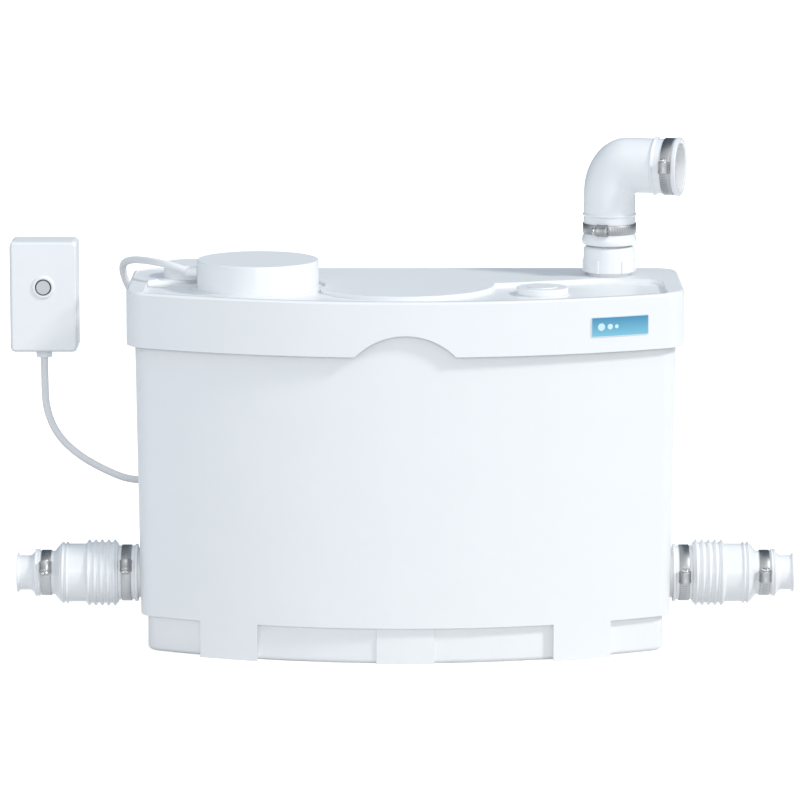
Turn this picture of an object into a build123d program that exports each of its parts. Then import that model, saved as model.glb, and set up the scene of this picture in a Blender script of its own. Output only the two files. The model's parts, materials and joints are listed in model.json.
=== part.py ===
from build123d import *
import os
from math import asin, atan2, cos, hypot, pi, radians, sin, sqrt, tan

os.makedirs("parts", exist_ok=True)

# Driving dimensions in millimetres and degrees. X runs left to right, Y front to back, Z up,
# and the origin lies on the floor under the middle of the tank.

# Lid and tank in plan
lid_width = 480
lid_depth = 211
bow_radius = 500
back_corner_radius = 20
front_corner_radius = 30
smallest_corner = 3
lid_overhang = 6.8

# Tank
plinth_height = 32
plinth_recess = 6
plinth_edge_radius = 4
plinth_floor = 4
tank_body_height = 273
tank_wall = 3.2
draft_angle = 0.8
rim_band_height = 14
side_pad_start = 127
side_pad_end = 177
middle_pad_width = 50
middle_pad_recess = 4.5

# Lid
gasket_thickness = 3
lid_plate = 3.8
pocket_depth = 4.2
skirt_height = 47.7
skirt_wall = 2.5
skirt_fit = 0.3
lid_edge_radius = 3.2
rim_width = 2.8
arch_width = 85.6
arch_height = 18.4
moon_radius = 77
moon_setback = 102
pocket_crest_setback = 66.5
pocket_crest_margin = 60
pocket_side_margin = 12.5
pocket_knee_run = 3
pocket_knee_rise = 4
pocket_corner_run = 4
pocket_corner_drop = 9
pocket_radii = (30, 45, 14)
deck_step = 1.2
step_front_offset = (-49.5, -5)
step_middle_offset = (-22, -29)
step_end_offset = (20, 29)
hollow_roof = 3.5
hollow_margin = 7

# Lid screws
lid_screw_radius = 1.5
lid_screw_head_radius = 3
lid_screw_length = 8.5
screw_fit = 0.1
lid_screw_drop = 7
side_screw_spread = 75
side_screw_middle = 32
back_screw_spread = 150

# Motor cap and its cable gland
cap_margin = 112.6
cap_radius = 52.5
cap_wall = 2.2
cap_height = 26.3
cap_flange_radius = 57.5
cap_flange_thickness = 1.6
cap_edge_radius = 1
cap_seat_fit = 1
gland_height = 15.5
gland_tilt = 19
gland_turn = 14
gland_radius = 4.4
gland_length = 8.5
gland_neck_radius = 3.6
gland_nut_radius = 6
gland_nut_thickness = 2.5
gland_nut_sides = 6
part_fit = 0.1

# Rear switch cap
switch_margin = 52
switch_setback = 48.5
switch_cap_radius = 23.5
switch_cap_height = 12.5
switch_cap_wall = 2.2

# Vent cap, its cup and filter
vent_margin = 122.4
vent_setback = 136.5
vent_radius = 22.15
vent_height = 7.3
vent_crown_radius = 13
vent_crown_height = 0.8
vent_ring_radius = 23.4
vent_ring_height = 0.9
vent_cup_bore = 17
vent_cup_wall = 2.5
vent_cup_depth = 36
vent_cup_floor = 2
vent_stem_length = 8
vent_hole_radius = 2.5
vent_hole_count = 6
filter_fit = 0.5
filter_height = 24

# Badge
badge_width = 53.5
badge_height = 17.3
badge_thickness = 0.6
badge_corner = 1.5
badge_margin = 57.3
badge_drop = 25.6

# Discharge outlet
outlet_margin = 61.3
outlet_setback = 44
neck_radius = 18.5
neck_bore = 15.5
neck_gap = 3
nut_radius = 22.5
nut_height = 22.5
nut_lip = 2.5
nut_shoulder_radius = 3
lug_count = 6
lug_height = 12
lug_width = 3
lug_rise = 0.9
lug_turn = 30
thread_fit = 0.08
washer_thickness = 1.5
tailpiece_collar = 3.5
tailpiece_radius = 16.5
tailpiece_wall = 2
tailpiece_insert = 26
collar_under_lid = 5
collar_radius = 24

# Rubber elbow
elbow_yaw = -15.7
elbow_gap = 1.8
elbow_rise = 69.6
elbow_tube_radius = 22.4
elbow_bend_radius = 27
elbow_arm_radius = 24
elbow_arm_bore = 20.5
elbow_reach = 63.4
elbow_mouth_radius = 25.6
elbow_mouth_width = 3.8
elbow_collar_radius = 23.9
elbow_collar_height = 6.5
elbow_bead_radius = 23.5
elbow_bead_width = 3
lower_clamp_height = 9.8
lower_clamp_turn = -107.5
outlet_clamp_reach = 49.5
outlet_clamp_turn = 86
elbow_bead_height = 26
elbow_bead_reach = 41.5

# Worm drive clamps
band_thickness = 0.8
band_width = 8.7
housing_length = 10.5
housing_height = 8
clamp_screw_radius = 2.7
clamp_screw_length = 10.5
clamp_head_radius = 3.6
clamp_head_length = 2.5
clamp_slot = 1.2
housing_lap = 1
clamp_fit = 0.05
left_clamp_turn = 25
right_clamp_turn = 2

# Discharge pipe and non-return valve
pipe_radius = 20
pipe_wall = 3
pipe_bend_radius = 42
pipe_socket = 15
valve_z = 236
valve_radius = 28
valve_wall = 3
valve_chamber = 44
valve_floor = 4
valve_spigot_wall = 2.5
flap_hinge_offset = 21.2
flap_thickness = 2.5
flap_pin_radius = 1.4
flap_barrel_radius = 2.4
flap_lap = 3.4
flap_play = 0.5
valve_ear_gap = 5
valve_ear = 3
flange_thickness = 4

# Side inlets and their rubber sleeves
inlet_z = 62
spigot_radius = 21.5
spigot_bore = 18
spigot_outside = 24
spigot_inside = 9
sleeve_gap = 3.1
sleeve_fit = 0.05
sleeve_lip_width = 2.5
sleeve_lip_fall = 0.5
sleeve_lip_radius = 25.1
sleeve_seat_radius = 23.6
sleeve_seat_end = 20.2
rib_count = 5
rib_pitch = 5.6
first_rib = 23.5
rib_radius = 28.9
rib_valley = 27
rib_crest = 1.6
rib_foot = 0.4
sleeve_body_radius = 25.3
sleeve_body_start = 48.8
sleeve_body_end = 70.5
small_rib_radius = 27
small_rib_places = (64.8, 68.6)
small_rib_foot = 1.4
small_rib_crest = 0.5
middle_tube_radius = 19
middle_tube_start = 76
middle_tube_end = 88
middle_rib_radius = 20.6
middle_rib_width = 4.5
middle_rib_lead = 0.7
sleeve_wall = 3
shoulder_curve = ((0.3, 0.55), (0.65, 0.87))
small_tube_start = 97.5
small_tube_radius = 15
mouth_lip_radius = 16.9
mouth_lip_width = 1.8
mouth_lip_lead = 0.6
sleeve_end = 108.7
large_bore = 22.6
middle_bore = 16.1
mouth_bore = 12.5
inner_clamp_start = 8.6
outer_clamp_start = 78.6
inlet_flap_radius = 22
inlet_hinge_rise = 26
inlet_flap_gap = 0.1
ear_thickness = 3.5
ear_height = 7.8
ear_margin = 1

# Motor unit
can_radius = 45
can_wall = 2.5
can_length = 176
motor_gasket_thickness = 1.5
motor_flange_radius = 49.8
motor_flange_thickness = 3.2
motor_screw_count = 6
motor_screw_ring_radius = 47.6
motor_screw_radius = 1.2
motor_screw_head = 2.1
motor_screw_head_height = 1.2
motor_screw_length = 6
plate_depth = 54
plate_thickness = 4
plate_boss_length = 16
bearing_radius = 16
bearing_bore = 6
bearing_width = 10
bearing_wall = 3
shaft_radius = 6
running_fit = 0.05
rotor_radius = 22
rotor_length = 60
stator_length = 56
air_gap = 0.6
winding_height = 10
winding_inner = 27
winding_outer = 39
rotor_gap = 1.5
bracket_thickness = 12
bracket_boss_height = 12
seal_radius = 11
seal_length = 9
casing_radius = 50
casing_wall = 5
casing_height = 46
impeller_radius = 38
impeller_plate = 4
impeller_hub = 11
vane_count = 6
vane_height = 15
vane_width = 3.5
vane_margin = 1.5
impeller_drop = 6
cover_thickness = 6
eye_radius = 18
strainer_radius = 40
strainer_wall = 3
strainer_length = 56
slot_count = 16
slot_width = 6
slot_margin = 8
outlet_offset = 30
stub_radius = 16.9
stub_wall = 3
stub_length = 76
stub_drop = 23
capacitor_radius = 15
capacitor_height = 42
capacitor_offset = 22
terminal_length = 34
terminal_width = 20
terminal_height = 14
terminal_offset = 18

# Pressure switch
dip_cup_radius = 20
dip_cup_bore = 17.5
dip_cup_depth = 26
dip_cup_floor = 3
dip_tube_radius = 9
dip_tube_wall = 2
dip_clearance = 36
dome_radius = 9
dome_height = 6
dome_wall = 0.8
switch_travel = 2
plunger_radius = 3
plunger_foot_radius = 7
plunger_foot = 1.5
guide_radius = 5.5
guide_length = 10
switch_hole_radius = 14
switch_plate_radius = 19
switch_plate = 1.5
switch_body_length = 24
switch_body_width = 12
switch_body_height = 7

# Control box on the wall
box_x = -319.6
box_z = 292
box_width = 59
box_height = 98
box_front_y = 86
box_depth = 38
box_cover_depth = 15
box_wall = 2.2
box_corner = 4
box_bevel = 2.4
box_post_radius = 4
box_post_inset = 6.5
box_screw_radius = 1.4
box_screw_head = 2.8
box_screw_head_height = 2
box_screw_sink = 12
box_screw_length = 19
wall_hole_radius = 2.2
wall_hole_spread = 56
button_rise = 8.9
button_radius = 6
button_travel = 2.2
button_proud = 0.5
button_length = 9
button_flange_radius = 7.4
button_flange = 1.5
ring_radius = 7.1
ring_proud = 1
bezel_radius = 10.25
bezel_proud = 1.3
bezel_neck_radius = 9
bezel_neck_length = 6
spring_radius = 4
spring_wall = 0.8
spring_length = 6
switch_block_size = 15
switch_block_depth = 7
board_width = 40
board_height = 62
board_thickness = 1.6
board_post_radius = 2.5
box_gland_shift = -1.6
box_gland_radius = 7.9
box_gland_tip = 6.8
box_gland_length = 8
box_gland_neck = 4.5

# Flexible cord
cord_radius = 3.25
cord_arc_share = 0.45
cord_lead = 15
clip_z = 201
clip_height = 12
clip_plate = 2
clip_wall = 2
clip_width = 14
clip_mouth = 4.5
clip_reach = 6.5

# Heights and places that follow from the driving dimensions
rim_z = plinth_height + tank_body_height
lid_underside_z = rim_z + gasket_thickness
pocket_floor_z = lid_underside_z + lid_plate
lid_top_z = pocket_floor_z + pocket_depth
skirt_z = lid_top_z - skirt_height
deck_z = lid_top_z - deck_step
moon_y = lid_depth / 2 - moon_setback
cap_x = cap_margin - lid_width / 2
cap_y = 0
switch_x = switch_margin - lid_width / 2
switch_y = lid_depth / 2 - switch_setback
vent_y = lid_depth / 2 - vent_setback
outlet_x = lid_width / 2 - outlet_margin
vent_x = lid_width / 2 - vent_margin
badge_x = lid_width / 2 - badge_margin
outlet_y = lid_depth / 2 - outlet_setback
gland_z = pocket_floor_z + gland_height
cap_seat_radius = cap_flange_radius + cap_seat_fit


def tank_inset(z):
    """Distance of the tank's drafted outer wall inside the edge of the lid."""
    return lid_overhang + (rim_z - z) * tan(radians(draft_angle))


def save(piece, name):
    """Name a finished piece and write it to its own file."""
    piece.part.label = name
    export_step(piece.part, f"parts/{name}.step")


def outline(inset):
    """Plan of the lid, set in: a straight back, straight sides and a bowed front."""
    side = lid_width / 2 - inset
    back = lid_depth / 2 - inset
    front = inset - lid_depth / 2
    radius = bow_radius - inset
    shoulder = front + radius - sqrt(radius**2 - side**2)
    with BuildSketch(mode=Mode.PRIVATE) as plan:
        with BuildLine():
            Polyline((-side, shoulder), (-side, back), (side, back), (side, shoulder))
            ThreePointArc((side, shoulder), (0, front), (-side, shoulder))
        make_face()
        back_corners = plan.vertices().group_by(Axis.Y)[-1]
        fillet(back_corners, max(back_corner_radius - inset, smallest_corner))
        front_corners = plan.vertices().group_by(Axis.Y)[0]
        fillet(front_corners, max(front_corner_radius - inset, smallest_corner))
    return plan.sketch


def axial(x, y, z, direction):
    """Plane across an axis through the point, with its normal along the direction."""
    return Plane(origin=(x, y, z), z_dir=direction)


def wall_x(z):
    """Half the tank's outer width at a height."""
    return lid_width / 2 - tank_inset(z)


def wall_y(z):
    """Place of the tank's outer back wall at a height."""
    return lid_depth / 2 - tank_inset(z)


def port(side, distance):
    """Plane across a side inlet, at a distance outside the tank's wall."""
    origin = (side * (wall_x(inlet_z) + distance), 0, inlet_z)
    return Plane(origin=origin, x_dir=(0, 1, 0), z_dir=(side, 0, 0))


def screw_planes():
    """Planes of the lid screws in the skirt's sides and back, facing out."""
    z = rim_z - lid_screw_drop
    planes = []
    for place in (-1, 1):
        y = side_screw_middle + place * side_screw_spread / 2
        planes.append(axial(lid_width / 2, y, z, (1, 0, 0)))
        planes.append(axial(-lid_width / 2, y, z, (-1, 0, 0)))
    for place in (-1, 0, 1):
        planes.append(axial(place * back_screw_spread, lid_depth / 2, z, (0, 1, 0)))
    return planes


def motor_screw_spots():
    """Screws round the motor's flange."""
    return PolarLocations(motor_screw_ring_radius, motor_screw_count)


# Tank: a drafted bowed tub on a recessed plinth, with pads, inlet spigots and hinge ears
ledge_inset = tank_inset(plinth_height)
plinth_inset = ledge_inset + plinth_recess
inner_floor_z = plinth_height + tank_wall
band_inset = skirt_wall + skirt_fit
ear_z = inlet_z + inlet_hinge_rise
hinge_back = tank_wall + spigot_inside + inlet_flap_gap + flap_barrel_radius
ear_start = inlet_flap_radius / 2 - part_fit
ear_end_back = hinge_back + flap_barrel_radius + ear_margin

with BuildPart() as tank:
    for z, inset in ((plinth_height, ledge_inset), (rim_z, lid_overhang)):
        with BuildSketch(Plane.XY.offset(z)):
            add(outline(inset))
    loft(ruled=True)
    with BuildSketch(Plane.XY.offset(rim_z - rim_band_height)):
        add(outline(band_inset))
    extrude(amount=rim_band_height)
    with BuildSketch():
        add(outline(plinth_inset))
    extrude(amount=plinth_height)
    fillet(tank.edges().group_by(Axis.Z)[0], plinth_edge_radius)
    with BuildSketch():
        with BuildLine():
            Polyline((side_pad_start, 0), (side_pad_end, 0), (side_pad_end, -lid_depth),
                     (side_pad_start, -lid_depth), close=True)
        make_face()
        mirror(about=Plane.YZ)
        add(outline(ledge_inset), mode=Mode.INTERSECT)
    extrude(amount=plinth_height)
    with BuildSketch():
        Rectangle(middle_pad_width, lid_depth, align=(Align.CENTER, Align.MAX))
        add(outline(ledge_inset + middle_pad_recess), mode=Mode.INTERSECT)
    extrude(amount=plinth_height)
    for side in (-1, 1):
        with BuildSketch(port(side, -tank_wall - spigot_inside)):
            Circle(spigot_radius)
        extrude(amount=tank_wall + spigot_inside + spigot_outside)
    for z, inset in ((inner_floor_z, ledge_inset), (rim_z, lid_overhang)):
        with BuildSketch(Plane.XY.offset(z)):
            add(outline(inset + tank_wall))
    loft(ruled=True, mode=Mode.SUBTRACT)
    with BuildSketch(Plane.XY.offset(plinth_floor)):
        add(outline(plinth_inset + tank_wall))
    extrude(amount=inner_floor_z - plinth_floor, mode=Mode.SUBTRACT)
    for side in (-1, 1):
        with BuildSketch(port(side, -tank_wall - spigot_inside)):
            Circle(spigot_radius)
        extrude(amount=tank_wall + spigot_inside)
        with BuildSketch(port(side, -ear_end_back)):
            with Locations((ear_start + ear_thickness / 2, inlet_hinge_rise * side),
                           (-ear_start - ear_thickness / 2, inlet_hinge_rise * side)):
                Rectangle(ear_thickness, ear_height)
        extrude(amount=ear_end_back - tank_wall / 2)
        with Locations(port(side, -tank_wall - spigot_inside)):
            Cylinder(spigot_bore, tank_wall + spigot_inside + spigot_outside, mode=Mode.SUBTRACT,
                     align=(Align.CENTER, Align.CENTER, Align.MIN))
        with Locations(axial(side * (wall_x(inlet_z) - hinge_back), 0, ear_z, (0, 1, 0))):
            Cylinder(flap_pin_radius + part_fit, 2 * (ear_start + ear_thickness + ear_margin),
                     mode=Mode.SUBTRACT)
    with Locations(*screw_planes()):
        Cylinder(lid_screw_radius + screw_fit, lid_screw_length + part_fit, mode=Mode.SUBTRACT,
                 align=(Align.CENTER, Align.CENTER, Align.MAX))
save(tank, "tank")

# Gasket between the tank's rim and the lid
with BuildPart() as lid_gasket:
    with BuildSketch(Plane.XY.offset(rim_z)):
        add(outline(lid_overhang))
        add(outline(lid_overhang + tank_wall), mode=Mode.SUBTRACT)
    extrude(amount=gasket_thickness)
save(lid_gasket, "lid_gasket")

# Lid: skirt and plate, sunk front pockets round a half-moon, seats, arch, vent cup and holes
crest_x = lid_width / 2 - pocket_crest_margin
crest_y = lid_depth / 2 - pocket_crest_setback
pocket_side_x = lid_width / 2 - pocket_side_margin
step_front = (switch_x + step_front_offset[0], switch_y + step_front_offset[1])
step_middle = (switch_x + step_middle_offset[0], switch_y + step_middle_offset[1])
step_end = (cap_x + step_end_offset[0], cap_y + step_end_offset[1])
arch_radius = (arch_width**2 / 4 + arch_height**2) / (2 * arch_height)
cup_top_z = lid_underside_z
cup_bottom_z = lid_underside_z - vent_cup_depth
hollow_left = cap_x + cap_seat_radius + hollow_margin
hollow_right = outlet_x - collar_radius - hollow_margin
hollow_back = lid_depth / 2 - skirt_wall - tank_wall - hollow_margin
hollow_front = crest_y + hollow_margin

with BuildPart() as lid:
    with BuildSketch(Plane.XY.offset(skirt_z)):
        add(outline(0))
    extrude(amount=skirt_height)
    fillet(lid.edges().group_by(Axis.Z)[-1], lid_edge_radius)
    with BuildSketch(Plane.XY.offset(skirt_z)):
        add(outline(skirt_wall))
    extrude(amount=lid_underside_z - skirt_z, mode=Mode.SUBTRACT)
    with BuildSketch(Plane.XY.offset(pocket_floor_z)):
        with BuildLine():
            wall = FilletPolyline(
                (0, moon_y), (moon_radius + pocket_knee_run, moon_y + pocket_knee_rise),
                (crest_x, crest_y), (pocket_side_x - pocket_corner_run, crest_y - pocket_corner_drop),
                (pocket_side_x, -lid_depth), radius=pocket_radii)
            Polyline(wall @ 1, (0, -lid_depth), wall @ 0)
        make_face()
        mirror(about=Plane.YZ)
        add(outline(rim_width), mode=Mode.INTERSECT)
        with Locations((0, moon_y)):
            Circle(moon_radius, mode=Mode.SUBTRACT)
        with Locations((cap_x, cap_y)):
            Circle(cap_seat_radius)
    extrude(amount=pocket_depth, mode=Mode.SUBTRACT)
    with BuildSketch(Plane.XY.offset(deck_z)):
        with BuildLine():
            Polyline((-lid_width / 2, step_front[1]), step_front, step_middle, step_end,
                     (step_end[0], lid_depth / 2), (-lid_width / 2, lid_depth / 2), close=True)
        make_face()
        add(outline(rim_width), mode=Mode.INTERSECT)
    extrude(amount=deck_step, mode=Mode.SUBTRACT)
    with BuildSketch(Plane.XY.offset(lid_underside_z)):
        with Locations((hollow_left, hollow_front)):
            Rectangle(hollow_right - hollow_left, hollow_back - hollow_front,
                      align=(Align.MIN, Align.MIN))
        with Locations((0, moon_y)):
            Circle(moon_radius - hollow_margin)
        with Locations((cap_x, cap_y)):
            Circle(cap_seat_radius + hollow_margin, mode=Mode.SUBTRACT)
    extrude(amount=lid_top_z - hollow_roof - lid_underside_z, mode=Mode.SUBTRACT)
    with BuildSketch(Plane.XZ.offset(lid_depth / 4)):
        with Locations((0, skirt_z + arch_height - arch_radius)):
            Circle(arch_radius)
    extrude(amount=lid_depth / 2, mode=Mode.SUBTRACT)
    with BuildSketch(Plane.XY.offset(cup_bottom_z)):
        with Locations((vent_x, vent_y)):
            Circle(vent_cup_bore + vent_cup_wall)
    extrude(amount=vent_cup_depth)
    with BuildSketch(Plane.XY.offset(pocket_floor_z)):
        with Locations((vent_x, vent_y)):
            Circle(vent_ring_radius)
    extrude(amount=vent_ring_height)
    with BuildSketch(Plane.XY.offset(cup_bottom_z + vent_cup_floor)):
        with Locations((vent_x, vent_y)):
            Circle(vent_cup_bore)
    extrude(amount=lid_top_z - cup_bottom_z, mode=Mode.SUBTRACT)
    with BuildSketch(Plane.XY.offset(cup_bottom_z)):
        with Locations((vent_x, vent_y)):
            with PolarLocations(vent_cup_bore / 2, vent_hole_count):
                Circle(vent_hole_radius)
    extrude(amount=vent_cup_floor, mode=Mode.SUBTRACT)
    for x, y, radius in ((cap_x, cap_y, can_radius + cap_seat_fit),
                         (switch_x, switch_y, switch_hole_radius),
                         (outlet_x, outlet_y, neck_radius + 3 * part_fit)):
        with Locations(axial(x, y, lid_top_z, (0, 0, 1))):
            Hole(radius, lid_top_z - skirt_z)
    with Locations(axial(cap_x, cap_y, pocket_floor_z, (0, 0, 1))):
        with motor_screw_spots():
            Hole(motor_screw_radius + part_fit, lid_plate)
    with Locations(*screw_planes()):
        CounterSinkHole(lid_screw_radius + screw_fit, lid_screw_head_radius + screw_fit,
                        lid_screw_length, counter_sink_angle=90)
save(lid, "lid")

# Lid screws, countersunk through the skirt into the tank's rim band
with BuildPart() as lid_screws:
    with Locations(*screw_planes()):
        Cylinder(lid_screw_radius, lid_screw_length, align=(Align.CENTER, Align.CENTER, Align.MAX))
        Cone(lid_screw_radius, lid_screw_head_radius, lid_screw_head_radius - lid_screw_radius,
             align=(Align.CENTER, Align.CENTER, Align.MAX))
save(lid_screws, "lid_screws")

# Badge: a thin plate that follows the bowed front of the skirt
badge_angle = asin(badge_x / bow_radius)
badge_y = bow_radius - lid_depth / 2 - bow_radius * cos(badge_angle)
badge_z = lid_top_z - badge_drop
badge_plane = Plane(origin=(badge_x, badge_y, badge_z),
                    x_dir=(cos(badge_angle), sin(badge_angle), 0),
                    z_dir=(sin(badge_angle), -cos(badge_angle), 0))

with BuildPart() as badge:
    with BuildSketch(Plane.XY.offset(skirt_z)):
        add(outline(-badge_thickness))
        add(outline(0), mode=Mode.SUBTRACT)
    extrude(amount=skirt_height)
    with BuildSketch(badge_plane):
        RectangleRounded(badge_width, badge_height, badge_corner)
    extrude(amount=badge_width / 4, both=True, mode=Mode.INTERSECT)
save(badge, "badge")

# Tall motor cap on the lid's left pocket, with the hole for its gland
cap_inner = cap_radius - cap_wall
cap_plane = Plane(origin=(cap_x, cap_y, pocket_floor_z))

with BuildPart() as motor_cap:
    with BuildSketch(cap_plane):
        Circle(cap_radius)
    extrude(amount=cap_height)
    fillet(motor_cap.edges().group_by(Axis.Z)[-1], cap_edge_radius)
    with BuildSketch(cap_plane):
        Circle(cap_flange_radius)
    extrude(amount=cap_flange_thickness)
    with BuildSketch(cap_plane):
        Circle(cap_inner)
    extrude(amount=cap_height - cap_wall, mode=Mode.SUBTRACT)
    with Locations(axial(cap_x - cap_radius, cap_y, gland_z, (-1, 0, 0))):
        Cylinder(gland_neck_radius + part_fit, 4 * cap_wall, mode=Mode.SUBTRACT)
save(motor_cap, "motor_cap")

# Gland in the cap's left side: collar cut square to the cord, neck through the wall, nut inside
nut_seat = sqrt(cap_inner**2 - gland_nut_radius**2)
gland_end = Vector(cap_x - cap_radius - gland_length, cap_y, gland_z)
gland_direction = Vector(-cos(radians(gland_tilt)) * cos(radians(gland_turn)),
                         cos(radians(gland_tilt)) * sin(radians(gland_turn)), sin(radians(gland_tilt)))

with BuildPart() as cap_gland:
    with BuildSketch(axial(cap_x - cap_radius, cap_y, gland_z, (-1, 0, 0))):
        Circle(gland_radius)
    extrude(amount=gland_length + gland_radius)
    split(bisect_by=Plane(origin=gland_end, z_dir=gland_direction), keep=Keep.BOTTOM)
    with BuildSketch(axial(cap_x - nut_seat + gland_nut_thickness, cap_y, gland_z, (-1, 0, 0))):
        Circle(gland_neck_radius)
    extrude(amount=cap_radius - nut_seat + gland_nut_thickness)
    with BuildSketch(axial(cap_x - nut_seat + gland_nut_thickness, cap_y, gland_z, (-1, 0, 0))):
        RegularPolygon(gland_nut_radius, gland_nut_sides)
    extrude(amount=gland_nut_thickness)
save(cap_gland, "cap_gland")

# Round cap over the pressure switch, behind the motor cap
with BuildPart() as switch_cap:
    with BuildSketch(Plane(origin=(switch_x, switch_y, deck_z))):
        Circle(switch_cap_radius)
    extrude(amount=switch_cap_height)
    fillet(switch_cap.edges().group_by(Axis.Z)[-1], cap_edge_radius)
    with BuildSketch(Plane(origin=(switch_x, switch_y, deck_z))):
        Circle(switch_cap_radius - switch_cap_wall)
    extrude(amount=switch_cap_height - switch_cap_wall, mode=Mode.SUBTRACT)
save(switch_cap, "switch_cap")

# Vent cap: a low knob whose stem turns in the lid's cup
vent_base_z = pocket_floor_z + vent_ring_height + running_fit
vent_top_z = pocket_floor_z + vent_height
vent_stem_z = vent_base_z - vent_stem_length

with BuildPart() as vent_cap:
    with BuildSketch(Plane(origin=(vent_x, vent_y, vent_base_z))):
        Circle(vent_radius)
    extrude(amount=vent_top_z - vent_crown_height - vent_base_z)
    fillet(vent_cap.edges().group_by(Axis.Z)[-1], cap_edge_radius)
    with BuildSketch(Plane(origin=(vent_x, vent_y, vent_base_z))):
        Circle(vent_crown_radius)
    extrude(amount=vent_top_z - vent_base_z)
    with BuildSketch(Plane(origin=(vent_x, vent_y, vent_stem_z))):
        Circle(vent_cup_bore - running_fit)
        Circle(vent_cup_bore - vent_cup_wall, mode=Mode.SUBTRACT)
    extrude(amount=vent_stem_length)
save(vent_cap, "vent_cap")

# Charcoal filter cartridge in the vent cup
with BuildPart() as carbon_filter:
    with BuildSketch(Plane(origin=(vent_x, vent_y, cup_bottom_z + vent_cup_floor))):
        Circle(vent_cup_bore - filter_fit)
    extrude(amount=filter_height)
save(carbon_filter, "carbon_filter")

# Outlet neck: flange on the valve, collar under the lid and the neck for the coupling nut
valve_top_z = valve_z + valve_floor + valve_chamber
nut_z = lid_top_z + neck_gap
nut_top_z = nut_z + nut_height
tailpiece_z = nut_top_z - nut_lip - tailpiece_collar
neck_top_z = tailpiece_z - washer_thickness


def outlet(z):
    """Plane across the outlet's upright axis."""
    return Plane(origin=(outlet_x, outlet_y, z))


with BuildPart() as outlet_neck:
    with BuildSketch(outlet(valve_top_z)):
        Circle(valve_radius)
    extrude(amount=flange_thickness)
    with BuildSketch(outlet(lid_underside_z - collar_under_lid)):
        Circle(collar_radius)
    extrude(amount=collar_under_lid)
    with BuildSketch(outlet(valve_top_z)):
        Circle(neck_radius)
    extrude(amount=neck_top_z - valve_top_z)
    with BuildSketch(outlet(valve_top_z)):
        Circle(neck_bore)
    extrude(amount=neck_top_z - valve_top_z, mode=Mode.SUBTRACT)
save(outlet_neck, "outlet_neck")

# Non-return valve body with its seat, hinge ears and lower spigot
valve_spigot_radius = pipe_radius - pipe_wall - part_fit
valve_bore = valve_spigot_radius - valve_spigot_wall
seat_z = valve_z + valve_floor
flap_hinge_z = seat_z + flap_barrel_radius + part_fit

with BuildPart() as valve_body:
    with BuildSketch(outlet(valve_z)):
        Circle(valve_radius)
    extrude(amount=valve_top_z - valve_z)
    with BuildSketch(outlet(seat_z)):
        Circle(valve_radius - valve_wall)
    extrude(amount=valve_chamber, mode=Mode.SUBTRACT)
    with BuildSketch(outlet(valve_z - pipe_socket)):
        Circle(valve_spigot_radius)
    extrude(amount=pipe_socket)
    with BuildSketch(outlet(valve_z - pipe_socket)):
        Circle(valve_bore)
    extrude(amount=pipe_socket + valve_floor, mode=Mode.SUBTRACT)
    with BuildSketch(outlet(seat_z)):
        with Locations((valve_ear_gap + valve_ear / 2, flap_hinge_offset),
                       (-valve_ear_gap - valve_ear / 2, flap_hinge_offset)):
            Rectangle(valve_ear, 2 * flap_barrel_radius)
    extrude(amount=2 * flap_barrel_radius)
    with Locations(axial(outlet_x, outlet_y + flap_hinge_offset, flap_hinge_z, (1, 0, 0))):
        Cylinder(flap_pin_radius + part_fit, 2 * (valve_ear_gap + valve_ear), mode=Mode.SUBTRACT)
save(valve_body, "valve_body")

# Valve flap: a disc, a strap and a barrel with two pins
strap_width = 2 * (valve_ear_gap - flap_play)

with BuildPart() as valve_flap:
    with BuildSketch(outlet(seat_z + part_fit)):
        Circle(valve_bore + flap_lap)
        Rectangle(strap_width, flap_hinge_offset, align=(Align.CENTER, Align.MIN))
    extrude(amount=flap_thickness)
    with Locations(axial(outlet_x, outlet_y + flap_hinge_offset, flap_hinge_z, (1, 0, 0))):
        Cylinder(flap_barrel_radius, strap_width)
        Cylinder(flap_pin_radius, 2 * (valve_ear_gap + valve_ear))
save(valve_flap, "valve_flap")

# Coupling nut with grip lugs and a rounded shoulder
with BuildPart() as coupling_nut:
    with BuildSketch(outlet(nut_z)):
        Circle(nut_radius)
    extrude(amount=nut_height)
    fillet(coupling_nut.edges().group_by(Axis.Z)[-1], nut_shoulder_radius)
    with BuildSketch(outlet(nut_z)):
        with PolarLocations(nut_radius, lug_count, start_angle=lug_turn - 90):
            Rectangle(2 * lug_rise, lug_width)
    extrude(amount=lug_height)
    with BuildSketch(outlet(nut_z)):
        Circle(neck_radius + thread_fit)
    extrude(amount=nut_height - nut_lip, mode=Mode.SUBTRACT)
    with BuildSketch(outlet(nut_z)):
        Circle(tailpiece_radius + thread_fit)
    extrude(amount=nut_height, mode=Mode.SUBTRACT)
save(coupling_nut, "coupling_nut")

# Flat washer on the neck and the collared tailpiece above it
with BuildPart() as tailpiece_washer:
    with BuildSketch(outlet(neck_top_z)):
        Circle(neck_radius - 2 * part_fit)
        Circle(neck_bore, mode=Mode.SUBTRACT)
    extrude(amount=washer_thickness)
save(tailpiece_washer, "tailpiece_washer")

elbow_z = nut_top_z + elbow_gap

with BuildPart() as elbow_tailpiece:
    with BuildSketch(outlet(tailpiece_z)):
        Circle(neck_radius - 2 * part_fit)
    extrude(amount=tailpiece_collar)
    with BuildSketch(outlet(tailpiece_z)):
        Circle(tailpiece_radius)
    extrude(amount=elbow_z + tailpiece_insert - tailpiece_z)
    with BuildSketch(outlet(tailpiece_z)):
        Circle(tailpiece_radius - tailpiece_wall)
    extrude(amount=elbow_z + tailpiece_insert - tailpiece_z, mode=Mode.SUBTRACT)
save(elbow_tailpiece, "elbow_tailpiece")

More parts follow.
